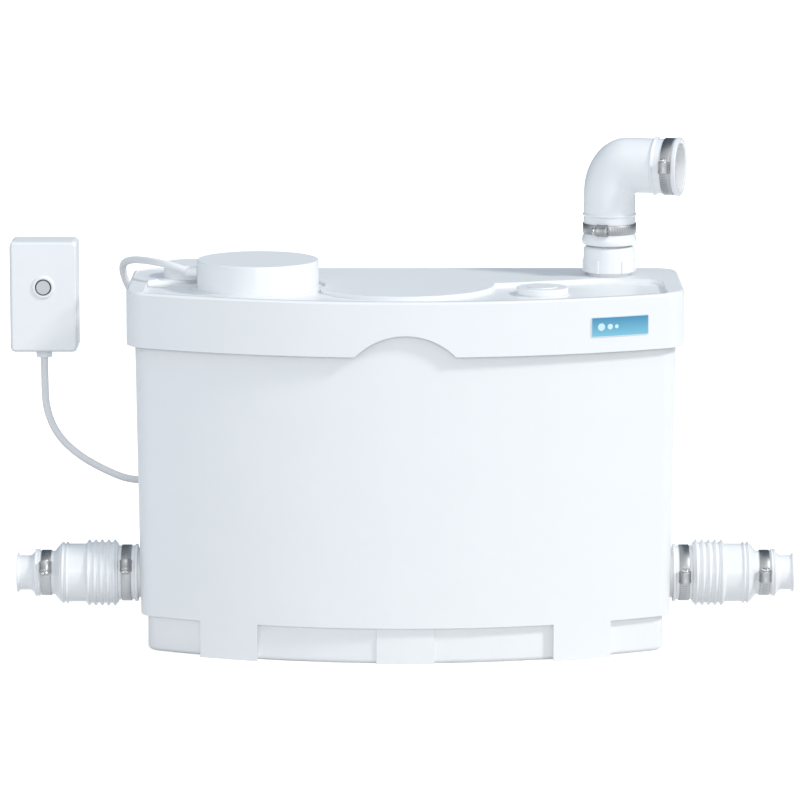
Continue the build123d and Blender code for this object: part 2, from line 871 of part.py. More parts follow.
# Rubber elbow: upright tube, bend and arm with beads, a collar and a mouth ring
elbow_axis_z = elbow_z + elbow_rise
arm_direction = Vector(cos(radians(elbow_yaw)), sin(radians(elbow_yaw)), 0)
elbow_plane = Plane(origin=(outlet_x, outlet_y, 0), x_dir=arm_direction,
                    z_dir=(sin(radians(elbow_yaw)), -cos(radians(elbow_yaw)), 0))
clamp_seat = part_fit


def arm(distance):
    """Plane across the elbow's arm, at a distance from the upright axis."""
    return Plane(origin=Vector(outlet_x, outlet_y, elbow_axis_z) + arm_direction * distance,
                 x_dir=(0, 0, 1), z_dir=arm_direction)


with BuildPart() as rubber_elbow:
    with BuildLine(elbow_plane):
        FilletPolyline((0, elbow_z), (0, elbow_axis_z), (elbow_reach, elbow_axis_z),
                       radius=elbow_bend_radius)
    with BuildSketch(outlet(elbow_z)):
        Circle(elbow_tube_radius)
    sweep()
    with BuildSketch(arm(elbow_bend_radius)):
        Circle(elbow_arm_radius)
    extrude(amount=elbow_reach - elbow_bend_radius)
    with BuildSketch(outlet(elbow_z)):
        Circle(elbow_collar_radius)
    extrude(amount=elbow_collar_height)
    with BuildSketch(outlet(elbow_z + elbow_bead_height)):
        Circle(elbow_bead_radius)
    extrude(amount=elbow_bead_width / 2, both=True)
    with BuildSketch(arm(elbow_bead_reach)):
        Circle(elbow_mouth_radius)
    extrude(amount=elbow_bead_width / 2, both=True)
    with BuildSketch(arm(elbow_reach - elbow_mouth_width)):
        Circle(elbow_mouth_radius)
    extrude(amount=elbow_mouth_width)
    with BuildLine(elbow_plane):
        FilletPolyline((0, elbow_z), (0, elbow_axis_z), (elbow_reach, elbow_axis_z),
                       radius=elbow_bend_radius)
    with BuildSketch(outlet(elbow_z)):
        Circle(tailpiece_radius + clamp_fit)
    sweep(mode=Mode.SUBTRACT)
    with BuildSketch(arm(elbow_bend_radius)):
        Circle(elbow_arm_bore)
    extrude(amount=elbow_reach - elbow_bend_radius, mode=Mode.SUBTRACT)
save(rubber_elbow, "rubber_elbow")


def turned(plane, angle):
    """The plane turned about its own normal."""
    x_dir = plane.x_dir * cos(radians(angle)) + plane.y_dir * sin(radians(angle))
    return Plane(origin=plane.origin, x_dir=x_dir, z_dir=plane.z_dir)


def screw_centre(inner_radius):
    """Distance of a clamp's screw from the middle of its band."""
    return inner_radius + band_thickness + housing_height / 2 - part_fit


def clamp_band(plane, inner_radius, angle):
    """Worm drive clamp: a steel band with the worm's housing on it."""
    foot = inner_radius + clamp_fit
    top = inner_radius + band_thickness + housing_height
    centre = screw_centre(inner_radius)
    with BuildPart() as band:
        with BuildSketch(plane):
            Circle(inner_radius + band_thickness)
            Circle(inner_radius, mode=Mode.SUBTRACT)
        extrude(amount=band_width)
        with Locations(turned(plane, angle)):
            with Locations(((foot + top) / 2, 0, band_width / 2)):
                Box(top - foot, housing_length, band_width + housing_lap)
            with Locations((centre, 0, band_width / 2)):
                Cylinder(clamp_screw_radius + part_fit, housing_length, rotation=(90, 0, 0),
                         mode=Mode.SUBTRACT)
    return band.part


def clamp_screw(plane, inner_radius, angle):
    """Worm screw of a clamp, with a slotted head outside the housing."""
    centre = screw_centre(inner_radius)
    head = housing_length / 2 + part_fit
    middle = turned(plane, angle).offset(band_width / 2)
    with BuildPart() as screw:
        with BuildSketch(middle):
            with BuildLine():
                Polyline((centre, -head - clamp_head_length),
                         (centre + clamp_head_radius, -head - clamp_head_length),
                         (centre + clamp_head_radius, -head), (centre + clamp_screw_radius, -head),
                         (centre + clamp_screw_radius, clamp_screw_length - head),
                         (centre, clamp_screw_length - head), close=True)
            make_face()
        revolve(axis=Axis(middle.origin + middle.x_dir * centre, middle.y_dir))
        with Locations(middle):
            with Locations((centre, -head - clamp_head_length, 0)):
                Box(2 * clamp_head_radius, clamp_head_length, clamp_slot, mode=Mode.SUBTRACT)
    return screw.part


# Both elbow clamps and their worm screws
lower_clamp_plane = outlet(elbow_z + lower_clamp_height)
outlet_clamp_plane = arm(outlet_clamp_reach)
lower_clamp_radius = elbow_tube_radius + clamp_seat
outlet_clamp_radius = elbow_arm_radius + clamp_seat

lower_clamp = (lower_clamp_plane, lower_clamp_radius, lower_clamp_turn)
outlet_clamp = (outlet_clamp_plane, outlet_clamp_radius, outlet_clamp_turn)

with BuildPart() as elbow_lower_clamp:
    add(clamp_band(*lower_clamp))
save(elbow_lower_clamp, "elbow_lower_clamp")

with BuildPart() as elbow_outlet_clamp:
    add(clamp_band(*outlet_clamp))
save(elbow_outlet_clamp, "elbow_outlet_clamp")

with BuildPart() as elbow_clamp_screws:
    add(clamp_screw(*lower_clamp))
    add(clamp_screw(*outlet_clamp))
save(elbow_clamp_screws, "elbow_clamp_screws")


# Rubber inlet sleeves: ribs by formula, every station a circle of one ruled loft
def sleeve_stations():
    """Distances outside the tank's wall and outer radii along a sleeve."""
    stations = [(sleeve_gap, sleeve_lip_radius), (sleeve_gap + sleeve_lip_width, sleeve_lip_radius),
                (sleeve_gap + sleeve_lip_width + sleeve_lip_fall, sleeve_seat_radius),
                (sleeve_seat_end, sleeve_seat_radius)]
    for i in range(rib_count):
        crest = first_rib + i * rib_pitch
        stations += [(crest - rib_pitch / 2 + rib_foot, rib_valley),
                     (crest - rib_crest / 2, rib_radius), (crest + rib_crest / 2, rib_radius),
                     (crest + rib_pitch / 2 - rib_foot, rib_valley)]
    stations.append((sleeve_body_start, sleeve_body_radius))
    for place in small_rib_places:
        stations += [(place - small_rib_foot, sleeve_body_radius),
                     (place - small_rib_crest, small_rib_radius),
                     (place + small_rib_crest, small_rib_radius),
                     (place + small_rib_foot, sleeve_body_radius)]
    stations += [(sleeve_body_end, sleeve_body_radius), (middle_tube_start, middle_tube_radius),
                 (middle_tube_end, middle_tube_radius),
                 (middle_tube_end + middle_rib_lead, middle_rib_radius),
                 (middle_tube_end + middle_rib_width, middle_rib_radius)]
    drop = middle_rib_radius - small_tube_radius
    start = middle_tube_end + middle_rib_width
    for share, fall in shoulder_curve:
        stations.append((start + share * (small_tube_start - start), middle_rib_radius - fall * drop))
    stations += [(small_tube_start, small_tube_radius),
                 (sleeve_end - mouth_lip_width - mouth_lip_lead, small_tube_radius),
                 (sleeve_end - mouth_lip_width, mouth_lip_radius), (sleeve_end, mouth_lip_radius)]
    return stations


def inlet_sleeve(side):
    """Rubber sleeve of one inlet, bored from the spigot to the mouth."""
    spigot_end = spigot_outside + part_fit
    body_end = sleeve_body_end - sleeve_wall
    middle_end = middle_tube_end + middle_rib_width
    bores = ((sleeve_gap, spigot_end, spigot_radius + sleeve_fit),
             (spigot_end, body_end, large_bore),
             (body_end, middle_end, middle_bore),
             (middle_end, sleeve_end, mouth_bore))
    with BuildPart() as sleeve:
        for distance, radius in sleeve_stations():
            with BuildSketch(port(side, distance)):
                Circle(radius)
        loft(ruled=True)
        for start, end, radius in bores:
            with BuildSketch(port(side, start)):
                Circle(radius)
            extrude(amount=end - start, mode=Mode.SUBTRACT)
    return sleeve.part


with BuildPart() as left_inlet_sleeve:
    add(inlet_sleeve(-1))
save(left_inlet_sleeve, "left_inlet_sleeve")

with BuildPart() as right_inlet_sleeve:
    add(inlet_sleeve(1))
save(right_inlet_sleeve, "right_inlet_sleeve")

# Sleeve clamps: one pair on the spigots, one pair on the narrow ends, and their screws
inner_band_radius = sleeve_seat_radius + clamp_seat
outer_band_radius = middle_tube_radius + clamp_seat


def clamp_places(start):
    """Plane and housing angle of the same clamp on both sides, with its housing to the front."""
    return ((port(-1, start), 180 + left_clamp_turn), (port(1, start), 180 - right_clamp_turn))


with BuildPart() as inner_sleeve_clamps:
    for plane, angle in clamp_places(inner_clamp_start):
        add(clamp_band(plane, inner_band_radius, angle))
save(inner_sleeve_clamps, "inner_sleeve_clamps")

with BuildPart() as outer_sleeve_clamps:
    for plane, angle in clamp_places(outer_clamp_start):
        add(clamp_band(plane, outer_band_radius, angle))
save(outer_sleeve_clamps, "outer_sleeve_clamps")

with BuildPart() as sleeve_clamp_screws:
    for plane, angle in clamp_places(inner_clamp_start):
        add(clamp_screw(plane, inner_band_radius, angle))
    for plane, angle in clamp_places(outer_clamp_start):
        add(clamp_screw(plane, outer_band_radius, angle))
save(sleeve_clamp_screws, "sleeve_clamp_screws")


# Inlet flaps: discs that hang on pins inside the tank and close the spigots
def inlet_flap(side):
    """Flap of one inlet: a disc, a strap up to its barrel and two pins."""
    face = -tank_wall - spigot_inside - inlet_flap_gap
    inlet_strap = 2 * (ear_start - flap_play)
    with BuildPart() as flap:
        with BuildSketch(port(side, face - flap_thickness)):
            Circle(inlet_flap_radius)
            with Locations((0, side * inlet_hinge_rise / 2)):
                Rectangle(inlet_strap, inlet_hinge_rise)
        extrude(amount=flap_thickness)
        with Locations(axial(side * (wall_x(inlet_z) - hinge_back), 0, ear_z, (0, 1, 0))):
            Cylinder(flap_barrel_radius, inlet_strap)
            Cylinder(flap_pin_radius, 2 * (ear_start + ear_thickness))
    return flap.part


with BuildPart() as left_inlet_flap:
    add(inlet_flap(-1))
save(left_inlet_flap, "left_inlet_flap")

with BuildPart() as right_inlet_flap:
    add(inlet_flap(1))
save(right_inlet_flap, "right_inlet_flap")


# Motor unit, hung through the lid under the tall cap
def motor(z):
    """Plane across the motor's shaft."""
    return Plane(origin=(cap_x, cap_y, z))


flange_z = pocket_floor_z + motor_gasket_thickness
motor_top_z = flange_z + motor_flange_thickness
can_bottom_z = motor_top_z - can_length
can_inner = can_radius - can_wall
plate_z = motor_top_z - plate_depth - plate_thickness
upper_bearing_z = plate_z - plate_boss_length + bearing_wall
rotor_z = plate_z - plate_boss_length - rotor_gap - rotor_length
stator_z = rotor_z + (rotor_length - stator_length) / 2
lower_bearing_z = can_bottom_z + bearing_wall
bracket_z = can_bottom_z - bracket_thickness
seal_z = bracket_z
casing_z = bracket_z - casing_height
impeller_z = bracket_z - impeller_drop - impeller_plate

with BuildPart() as motor_gasket:
    with BuildSketch(motor(pocket_floor_z)):
        Circle(motor_flange_radius)
        Circle(can_radius + cap_seat_fit, mode=Mode.SUBTRACT)
    extrude(amount=motor_gasket_thickness)
    with Locations(motor(flange_z)):
        with motor_screw_spots():
            Hole(motor_screw_radius + part_fit, motor_gasket_thickness)
save(motor_gasket, "motor_gasket")

with BuildPart() as motor_housing:
    with BuildSketch(motor(can_bottom_z)):
        Circle(can_radius)
    extrude(amount=can_length)
    with BuildSketch(motor(flange_z)):
        Circle(motor_flange_radius)
    extrude(amount=motor_flange_thickness)
    with BuildSketch(motor(can_bottom_z)):
        Circle(can_inner)
    extrude(amount=can_length, mode=Mode.SUBTRACT)
    with Locations(motor(motor_top_z)):
        with motor_screw_spots():
            Hole(motor_screw_radius + part_fit, motor_flange_thickness)
save(motor_housing, "motor_housing")

with BuildPart() as motor_screws:
    with Locations(motor(motor_top_z)):
        with motor_screw_spots():
            Cylinder(motor_screw_head, motor_screw_head_height,
                     align=(Align.CENTER, Align.CENTER, Align.MIN))
            Cylinder(motor_screw_radius, motor_screw_length,
                     align=(Align.CENTER, Align.CENTER, Align.MAX))
save(motor_screws, "motor_screws")

# Bearing plate with the upper bearing's boss
with BuildPart() as bearing_plate:
    with BuildSketch(motor(plate_z)):
        Circle(can_inner - part_fit)
    extrude(amount=plate_thickness)
    with BuildSketch(motor(plate_z - plate_boss_length)):
        Circle(bearing_radius + bearing_wall)
    extrude(amount=plate_boss_length)
    with BuildSketch(motor(plate_z - plate_boss_length)):
        Circle(bearing_radius + running_fit)
    extrude(amount=bearing_width + bearing_wall, mode=Mode.SUBTRACT)
save(bearing_plate, "bearing_plate")

# Two alike ball bearings
with BuildPart() as motor_bearings:
    for z in (upper_bearing_z, lower_bearing_z):
        with BuildSketch(motor(z)):
            Circle(bearing_radius)
            Circle(bearing_bore + running_fit, mode=Mode.SUBTRACT)
        extrude(amount=bearing_width)
save(motor_bearings, "motor_bearings")

# Laminated stator and its two winding heads
with BuildPart() as stator:
    with BuildSketch(motor(stator_z)):
        Circle(can_inner - part_fit)
        Circle(rotor_radius + air_gap, mode=Mode.SUBTRACT)
    extrude(amount=stator_length)
save(stator, "stator")

with BuildPart() as stator_windings:
    for z in (stator_z - winding_height, stator_z + stator_length):
        with BuildSketch(motor(z)):
            Circle(winding_outer)
            Circle(winding_inner, mode=Mode.SUBTRACT)
        extrude(amount=winding_height)
save(stator_windings, "stator_windings")

# Rotor with its long shaft, which carries the impeller
with BuildPart() as rotor:
    with BuildSketch(motor(impeller_z)):
        Circle(shaft_radius)
    extrude(amount=upper_bearing_z + bearing_width - impeller_z)
    with BuildSketch(motor(rotor_z)):
        Circle(rotor_radius)
    extrude(amount=rotor_length)
save(rotor, "rotor")

# Bracket that closes the can, holds the lower bearing and the seal and carries the pump
with BuildPart() as pump_bracket:
    with BuildSketch(motor(bracket_z)):
        Circle(casing_radius)
    extrude(amount=bracket_thickness)
    with BuildSketch(motor(can_bottom_z)):
        Circle(bearing_radius + bearing_wall)
    extrude(amount=bracket_boss_height + bearing_wall)
    with BuildSketch(motor(lower_bearing_z)):
        Circle(bearing_radius + running_fit)
    extrude(amount=bracket_boss_height, mode=Mode.SUBTRACT)
    with BuildSketch(motor(bracket_z)):
        Circle(seal_radius + running_fit)
    extrude(amount=bracket_thickness + bearing_wall, mode=Mode.SUBTRACT)
save(pump_bracket, "pump_bracket")

# Shaft seal in the bracket
with BuildPart() as shaft_seal:
    with BuildSketch(motor(seal_z)):
        Circle(seal_radius)
        Circle(shaft_radius + running_fit, mode=Mode.SUBTRACT)
    extrude(amount=seal_length)
save(shaft_seal, "shaft_seal")

# Impeller: back plate, hub and straight vanes below it
vane_start = impeller_hub - vane_width
vane_end = impeller_radius - vane_margin

with BuildPart() as impeller:
    with BuildSketch(motor(impeller_z)):
        Circle(impeller_radius)
    extrude(amount=impeller_plate)
    with BuildSketch(motor(impeller_z - vane_height)):
        Circle(impeller_hub)
        with PolarLocations((vane_start + vane_end) / 2, vane_count):
            Rectangle(vane_end - vane_start, vane_width)
    extrude(amount=vane_height)
    with BuildSketch(motor(impeller_z)):
        Circle(shaft_radius)
    extrude(amount=impeller_plate, mode=Mode.SUBTRACT)
save(impeller, "impeller")

# Pump casing with its outlet stub, which points at the riser
reach = hypot(outlet_x - cap_x, outlet_y - cap_y)
stub_angle = atan2(outlet_y - cap_y, outlet_x - cap_x) - asin(outlet_offset / reach)
stub_direction = Vector(cos(stub_angle), sin(stub_angle), 0)
stub_side = Vector(-sin(stub_angle), cos(stub_angle), 0)
stub_z = bracket_z - stub_drop
stub_origin = Vector(cap_x, cap_y, stub_z) + stub_side * outlet_offset
riser_distance = sqrt(reach**2 - outlet_offset**2)


def stub(distance):
    """Plane across the pump's outlet, at a distance from the shaft."""
    return Plane(origin=stub_origin + stub_direction * distance, z_dir=stub_direction)


with BuildPart() as pump_casing:
    with BuildSketch(motor(casing_z)):
        Circle(casing_radius)
    extrude(amount=casing_height)
    with BuildSketch(stub(0)):
        Circle(stub_radius)
    extrude(amount=stub_length)
    with BuildSketch(motor(casing_z)):
        Circle(casing_radius - casing_wall)
    extrude(amount=casing_height, mode=Mode.SUBTRACT)
    with BuildSketch(stub(0)):
        Circle(stub_radius - stub_wall)
    extrude(amount=stub_length, mode=Mode.SUBTRACT)
save(pump_casing, "pump_casing")

# Suction cover with the eye, and the slotted strainer below it
cover_z = casing_z - cover_thickness
strainer_z = cover_z - strainer_length

with BuildPart() as suction_strainer:
    with BuildSketch(motor(cover_z)):
        Circle(casing_radius)
    extrude(amount=cover_thickness)
    with BuildSketch(motor(strainer_z)):
        Circle(strainer_radius)
    extrude(amount=strainer_length)
    with BuildSketch(motor(strainer_z + strainer_wall)):
        Circle(strainer_radius - strainer_wall)
    extrude(amount=strainer_length - strainer_wall, mode=Mode.SUBTRACT)
    with Locations(motor(cover_z + cover_thickness)):
        Hole(eye_radius, cover_thickness)
    with Locations(motor(strainer_z + strainer_length / 2)):
        with PolarLocations(strainer_radius, slot_count):
            Box(4 * strainer_wall, slot_width, strainer_length - 2 * slot_margin,
                mode=Mode.SUBTRACT)
save(suction_strainer, "suction_strainer")

# Riser from the pump's stub to the valve
pipe_start = stub_length - pipe_socket
riser_top_z = valve_z
pipe_plane = Plane(origin=(outlet_x, outlet_y, 0), x_dir=stub_direction,
                   z_dir=(sin(stub_angle), -cos(stub_angle), 0))

with BuildPart() as riser_pipe:
    with BuildLine(pipe_plane):
        FilletPolyline((pipe_start - riser_distance, stub_z), (0, stub_z), (0, riser_top_z),
                       radius=pipe_bend_radius)
    with BuildSketch(stub(pipe_start)):
        Circle(pipe_radius)
        Circle(pipe_radius - pipe_wall, mode=Mode.SUBTRACT)
    sweep()
save(riser_pipe, "riser_pipe")

# Run capacitor and terminal block on the bearing plate
plate_top_z = plate_z + plate_thickness

with BuildPart() as capacitor:
    with BuildSketch(Plane(origin=(cap_x - capacitor_offset, cap_y, plate_top_z))):
        Circle(capacitor_radius)
    extrude(amount=capacitor_height)
save(capacitor, "capacitor")

with BuildPart() as terminal_block:
    with BuildSketch(Plane(origin=(cap_x + terminal_offset, cap_y, plate_top_z))):
        Rectangle(terminal_width, terminal_length)
    extrude(amount=terminal_height)
save(terminal_block, "terminal_block")


# Pressure switch: dip tube, diaphragm, plunger and microswitch
def switch(z):
    """Plane across the pressure switch's upright axis."""
    return Plane(origin=(switch_x, switch_y, z))


cup_z = lid_underside_z - dip_cup_depth
dome_z = cup_z + dip_cup_floor
crown_z = dome_z + dome_height
plunger_top_z = deck_z - switch_travel - part_fit

with BuildPart() as dip_tube:
    with BuildSketch(switch(cup_z)):
        Circle(dip_cup_radius)
    extrude(amount=dip_cup_depth)
    with BuildSketch(switch(dome_z)):
        Circle(dip_cup_bore)
    extrude(amount=dip_cup_depth - dip_cup_floor, mode=Mode.SUBTRACT)
    with BuildSketch(switch(dip_clearance)):
        Circle(dip_tube_radius)
    extrude(amount=cup_z - dip_clearance)
    with BuildSketch(switch(dip_clearance)):
        Circle(dip_tube_radius - dip_tube_wall)
    extrude(amount=dome_z - dip_clearance, mode=Mode.SUBTRACT)
save(dip_tube, "dip_tube")

with BuildPart() as switch_diaphragm:
    with BuildSketch(switch(dome_z)):
        Circle(dip_cup_bore - part_fit)
    extrude(amount=dome_wall)
    with BuildSketch(switch(dome_z)):
        Circle(dome_radius)
    extrude(amount=dome_height)
    with BuildSketch(switch(dome_z)):
        Circle(dome_radius - dome_wall)
    extrude(amount=dome_height - dome_wall, mode=Mode.SUBTRACT)
save(switch_diaphragm, "switch_diaphragm")

with BuildPart() as switch_plunger:
    with BuildSketch(switch(crown_z)):
        Circle(plunger_foot_radius)
    extrude(amount=plunger_foot)
    with BuildSketch(switch(crown_z)):
        Circle(plunger_radius)
    extrude(amount=plunger_top_z - crown_z)
save(switch_plunger, "switch_plunger")

with BuildPart() as microswitch:
    with BuildSketch(switch(deck_z)):
        Circle(switch_plate_radius)
    extrude(amount=switch_plate)
    with BuildSketch(switch(deck_z + switch_plate)):
        Rectangle(switch_body_length, switch_body_width)
    extrude(amount=switch_body_height)
    with BuildSketch(switch(deck_z - guide_length)):
        Circle(guide_radius)
        Circle(plunger_radius + running_fit, mode=Mode.SUBTRACT)
    extrude(amount=guide_length)
save(microswitch, "microswitch")

# Control box on the wall: rear shell, front cover and their screws
box_back_y = box_front_y + box_depth
box_split_y = box_front_y + box_cover_depth
post_x = box_width / 2 - box_post_inset
post_z = box_height / 2 - box_post_inset
box_post_spots = [(side * post_x, end * post_z) for side in (-1, 1) for end in (-1, 1)]
button_z = box_z + button_rise
box_gland_x = box_x + box_gland_shift
box_gland_y = (box_split_y + box_back_y) / 2


def box_face(y):
    """Plane across the box, facing the front, centred on it."""
    return Plane(origin=(box_x, y, box_z), x_dir=(1, 0, 0), z_dir=(0, -1, 0))


def button_face(y):
    """Plane across the button, facing the front."""
    return Plane(origin=(box_x, y, button_z), x_dir=(1, 0, 0), z_dir=(0, -1, 0))


with BuildPart() as box_base:
    with BuildSketch(box_face(box_back_y)):
        RectangleRounded(box_width, box_height, box_corner)
    extrude(amount=box_back_y - box_split_y)
    with BuildSketch(box_face(box_back_y - box_wall)):
        RectangleRounded(box_width - 2 * box_wall, box_height - 2 * box_wall, box_corner - box_wall)
    extrude(amount=box_back_y - box_wall - box_split_y, mode=Mode.SUBTRACT)
    with BuildSketch(box_face(box_back_y)):
        with Locations(*box_post_spots):
            Circle(box_post_radius)
    extrude(amount=box_back_y - box_split_y)
    with BuildSketch(box_face(box_back_y)):
        with Locations(*box_post_spots):
            Circle(box_screw_head + part_fit)
    extrude(amount=box_screw_sink, mode=Mode.SUBTRACT)
    with BuildSketch(box_face(box_back_y)):
        with Locations(*box_post_spots):
            Circle(box_screw_radius + part_fit)
        with Locations((0, wall_hole_spread / 2), (0, -wall_hole_spread / 2)):
            Circle(wall_hole_radius)
    extrude(amount=box_back_y - box_split_y, mode=Mode.SUBTRACT)
    with Locations(axial(box_gland_x, box_gland_y, box_z - box_height / 2, (0, 0, 1))):
        Cylinder(box_gland_neck + part_fit, 4 * box_wall, mode=Mode.SUBTRACT)
save(box_base, "box_base")

with BuildPart() as box_cover:
    with BuildSketch(box_face(box_split_y)):
        RectangleRounded(box_width, box_height, box_corner)
    extrude(amount=box_cover_depth)
    chamfer(box_cover.edges().group_by(Axis.Y)[0], box_bevel)
    with BuildSketch(box_face(box_split_y)):
        RectangleRounded(box_width - 2 * box_wall, box_height - 2 * box_wall, box_corner - box_wall)
    extrude(amount=box_cover_depth - box_wall, mode=Mode.SUBTRACT)
    with BuildSketch(box_face(box_split_y)):
        with Locations(*box_post_spots):
            Circle(box_post_radius)
    extrude(amount=box_cover_depth - box_wall)
    with BuildSketch(box_face(box_split_y)):
        with Locations(*box_post_spots):
            Circle(box_screw_radius)
    extrude(amount=box_screw_length - box_back_y + box_split_y + box_screw_sink, mode=Mode.SUBTRACT)
    with Locations(button_face(box_front_y)):
        Hole(bezel_neck_radius + part_fit, 2 * box_wall)
save(box_cover, "box_cover")

with BuildPart() as box_screws:
    for x, z in box_post_spots:
        with Locations(axial(box_x + x, box_back_y - box_screw_sink, box_z + z, (0, 1, 0))):
            Cylinder(box_screw_head, box_screw_head_height,
                     align=(Align.CENTER, Align.CENTER, Align.MIN))
            Cylinder(box_screw_radius, box_screw_length, align=(Align.CENTER, Align.CENTER, Align.MAX))
save(box_screws, "box_screws")

# Push button with its bezel, dark ring, spring and switch block
bezel_front_y = box_front_y - bezel_proud
ring_front_y = box_front_y - ring_proud
button_front_y = bezel_front_y - button_proud
flange_y = button_front_y + button_length
spring_y = flange_y + button_flange
block_y = spring_y + spring_length
board_y = block_y + switch_block_depth

with BuildPart() as button_bezel:
    with BuildSketch(button_face(box_front_y)):
        Circle(bezel_radius)
        Circle(ring_radius + part_fit, mode=Mode.SUBTRACT)
    extrude(amount=bezel_proud)
    with BuildSketch(button_face(box_front_y + bezel_neck_length)):
        Circle(bezel_neck_radius)
        Circle(ring_radius + part_fit, mode=Mode.SUBTRACT)
    extrude(amount=bezel_neck_length)
save(button_bezel, "button_bezel")

with BuildPart() as button_ring:
    with BuildSketch(button_face(flange_y - part_fit)):
        Circle(ring_radius)
        Circle(button_radius + running_fit, mode=Mode.SUBTRACT)
    extrude(amount=flange_y - part_fit - ring_front_y)
save(button_ring, "button_ring")

with BuildPart() as push_button:
    with BuildSketch(button_face(flange_y)):
        Circle(button_radius)
    extrude(amount=button_length)
    with BuildSketch(button_face(spring_y)):
        Circle(button_flange_radius)
    extrude(amount=button_flange)
save(push_button, "push_button")

with BuildPart() as button_spring:
    with BuildSketch(button_face(block_y)):
        Circle(spring_radius)
        Circle(spring_radius - spring_wall, mode=Mode.SUBTRACT)
    extrude(amount=spring_length)
save(button_spring, "button_spring")

with BuildPart() as switch_block:
    with BuildSketch(button_face(board_y)):
        Rectangle(switch_block_size, switch_block_size)
    extrude(amount=switch_block_depth)
save(switch_block, "switch_block")

with BuildPart() as control_board:
    with BuildSketch(box_face(board_y + board_thickness)):
        Rectangle(board_width, board_height)
    extrude(amount=board_thickness)
    with BuildSketch(box_face(box_back_y - box_wall)):
        with GridLocations(board_width - 3 * board_post_radius,
                           board_height - 3 * board_post_radius, 2, 2):
            Circle(board_post_radius)
    extrude(amount=box_back_y - box_wall - board_y - board_thickness)
save(control_board, "control_board")

# Gland under the box, round the cord's end
box_bottom_z = box_z - box_height / 2

with BuildPart() as box_gland:
    for z, radius in ((box_bottom_z - box_gland_length, box_gland_tip),
                      (box_bottom_z, box_gland_radius)):
        with BuildSketch(Plane(origin=(box_gland_x, box_gland_y, z))):
            Circle(radius)
    loft()
    with BuildSketch(Plane(origin=(box_gland_x, box_gland_y, box_bottom_z))):
        Circle(box_gland_neck)
    extrude(amount=2 * box_wall)
save(box_gland, "box_gland")

# Flexible cord: out of the cap's gland, round the rear corner, down behind the tank through
# its clip, and up to the box. The points are the corners of its rounded path.
clip_x = -204
clip_y = wall_y(clip_z + clip_height / 2) + clip_reach
cord_points = [
    gland_end,
    gland_end + gland_direction * cord_lead,
    (-217.5, 19, 333),
    (-228, 44, 331),
    (-240, 71, 328),
    (-250.3, 95, 321.5),
    (-249.6, 111, 306),
    (-241, 117.5, 288),
    (-222, 112, 266),
    (clip_x, clip_y, 231),
    (clip_x, clip_y, 172),
    (-207, 106, 143),
    (-222, 110, 125),
    (-245, 111.5, 123),
    (-268, 111, 132.5),
    (-290.8, 110.5, 145.5),
    (-310, 111, 163.5),
    (-320, 112, 186.5),
    (box_gland_x, box_gland_y, 211),
    (box_gland_x, box_gland_y, box_bottom_z - box_gland_length),
]


def cord_radii(points):
    """Arc radius at each inner point, as large as its two runs allow."""
    radii = []
    for before, here, after in zip(points, points[1:], points[2:]):
        run_in = Vector(here) - Vector(before)
        run_out = Vector(after) - Vector(here)
        turn = run_in.get_angle(run_out)
        radii.append(cord_arc_share * min(run_in.length, run_out.length) / tan(radians(turn / 2)))
    return radii


radii = cord_radii(cord_points)

with BuildPart() as control_cable:
    with BuildLine() as cord_path:
        FilletPolyline(*cord_points, radius=radii)
    with BuildSketch(Plane(origin=cord_path.line @ 0, z_dir=cord_path.line % 0)):
        Circle(cord_radius)
    sweep()
save(control_cable, "control_cable")

cord_volume = pi * cord_radius**2 * cord_path.wires()[0].length
print("cord radii", [round(r, 1) for r in radii])
print("cord length", round(cord_path.wires()[0].length), "mm, volume ratio",
      round(control_cable.part.volume / cord_volume, 4))

# Clip on the tank's back that holds the cord
with BuildPart() as cable_clip:
    base_y = wall_y(clip_z + clip_height / 2)
    with BuildSketch(Plane(origin=(clip_x, base_y, clip_z - clip_height / 2))):
        Rectangle(clip_width, clip_plate, align=(Align.CENTER, Align.MIN))
        with Locations((0, clip_reach)):
            Circle(cord_radius + running_fit + clip_wall)
        with Locations((0, clip_reach)):
            Circle(cord_radius + running_fit, mode=Mode.SUBTRACT)
            Rectangle(clip_mouth, clip_reach + clip_wall, align=(Align.CENTER, Align.MIN),
                      mode=Mode.SUBTRACT)
    extrude(amount=clip_height)
save(cable_clip, "cable_clip")
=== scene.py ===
# %% [markdown]
# A sewage lifting unit is a white plastic tank with a pump inside. Waste water runs in through the
# ribbed rubber sleeves at its sides and is pumped out through the rubber elbow on its lid.
# The solid model is loaded first as a fixed frame, in metres. Pieces made here stand exactly on it,
# and each one rides on the body that it belongs to, so that the joints still work.

# %% Load the frame
import json
from math import atan2, cos, pi, radians, sin, sqrt

import bmesh
import bpy
from mathutils import Matrix, Vector


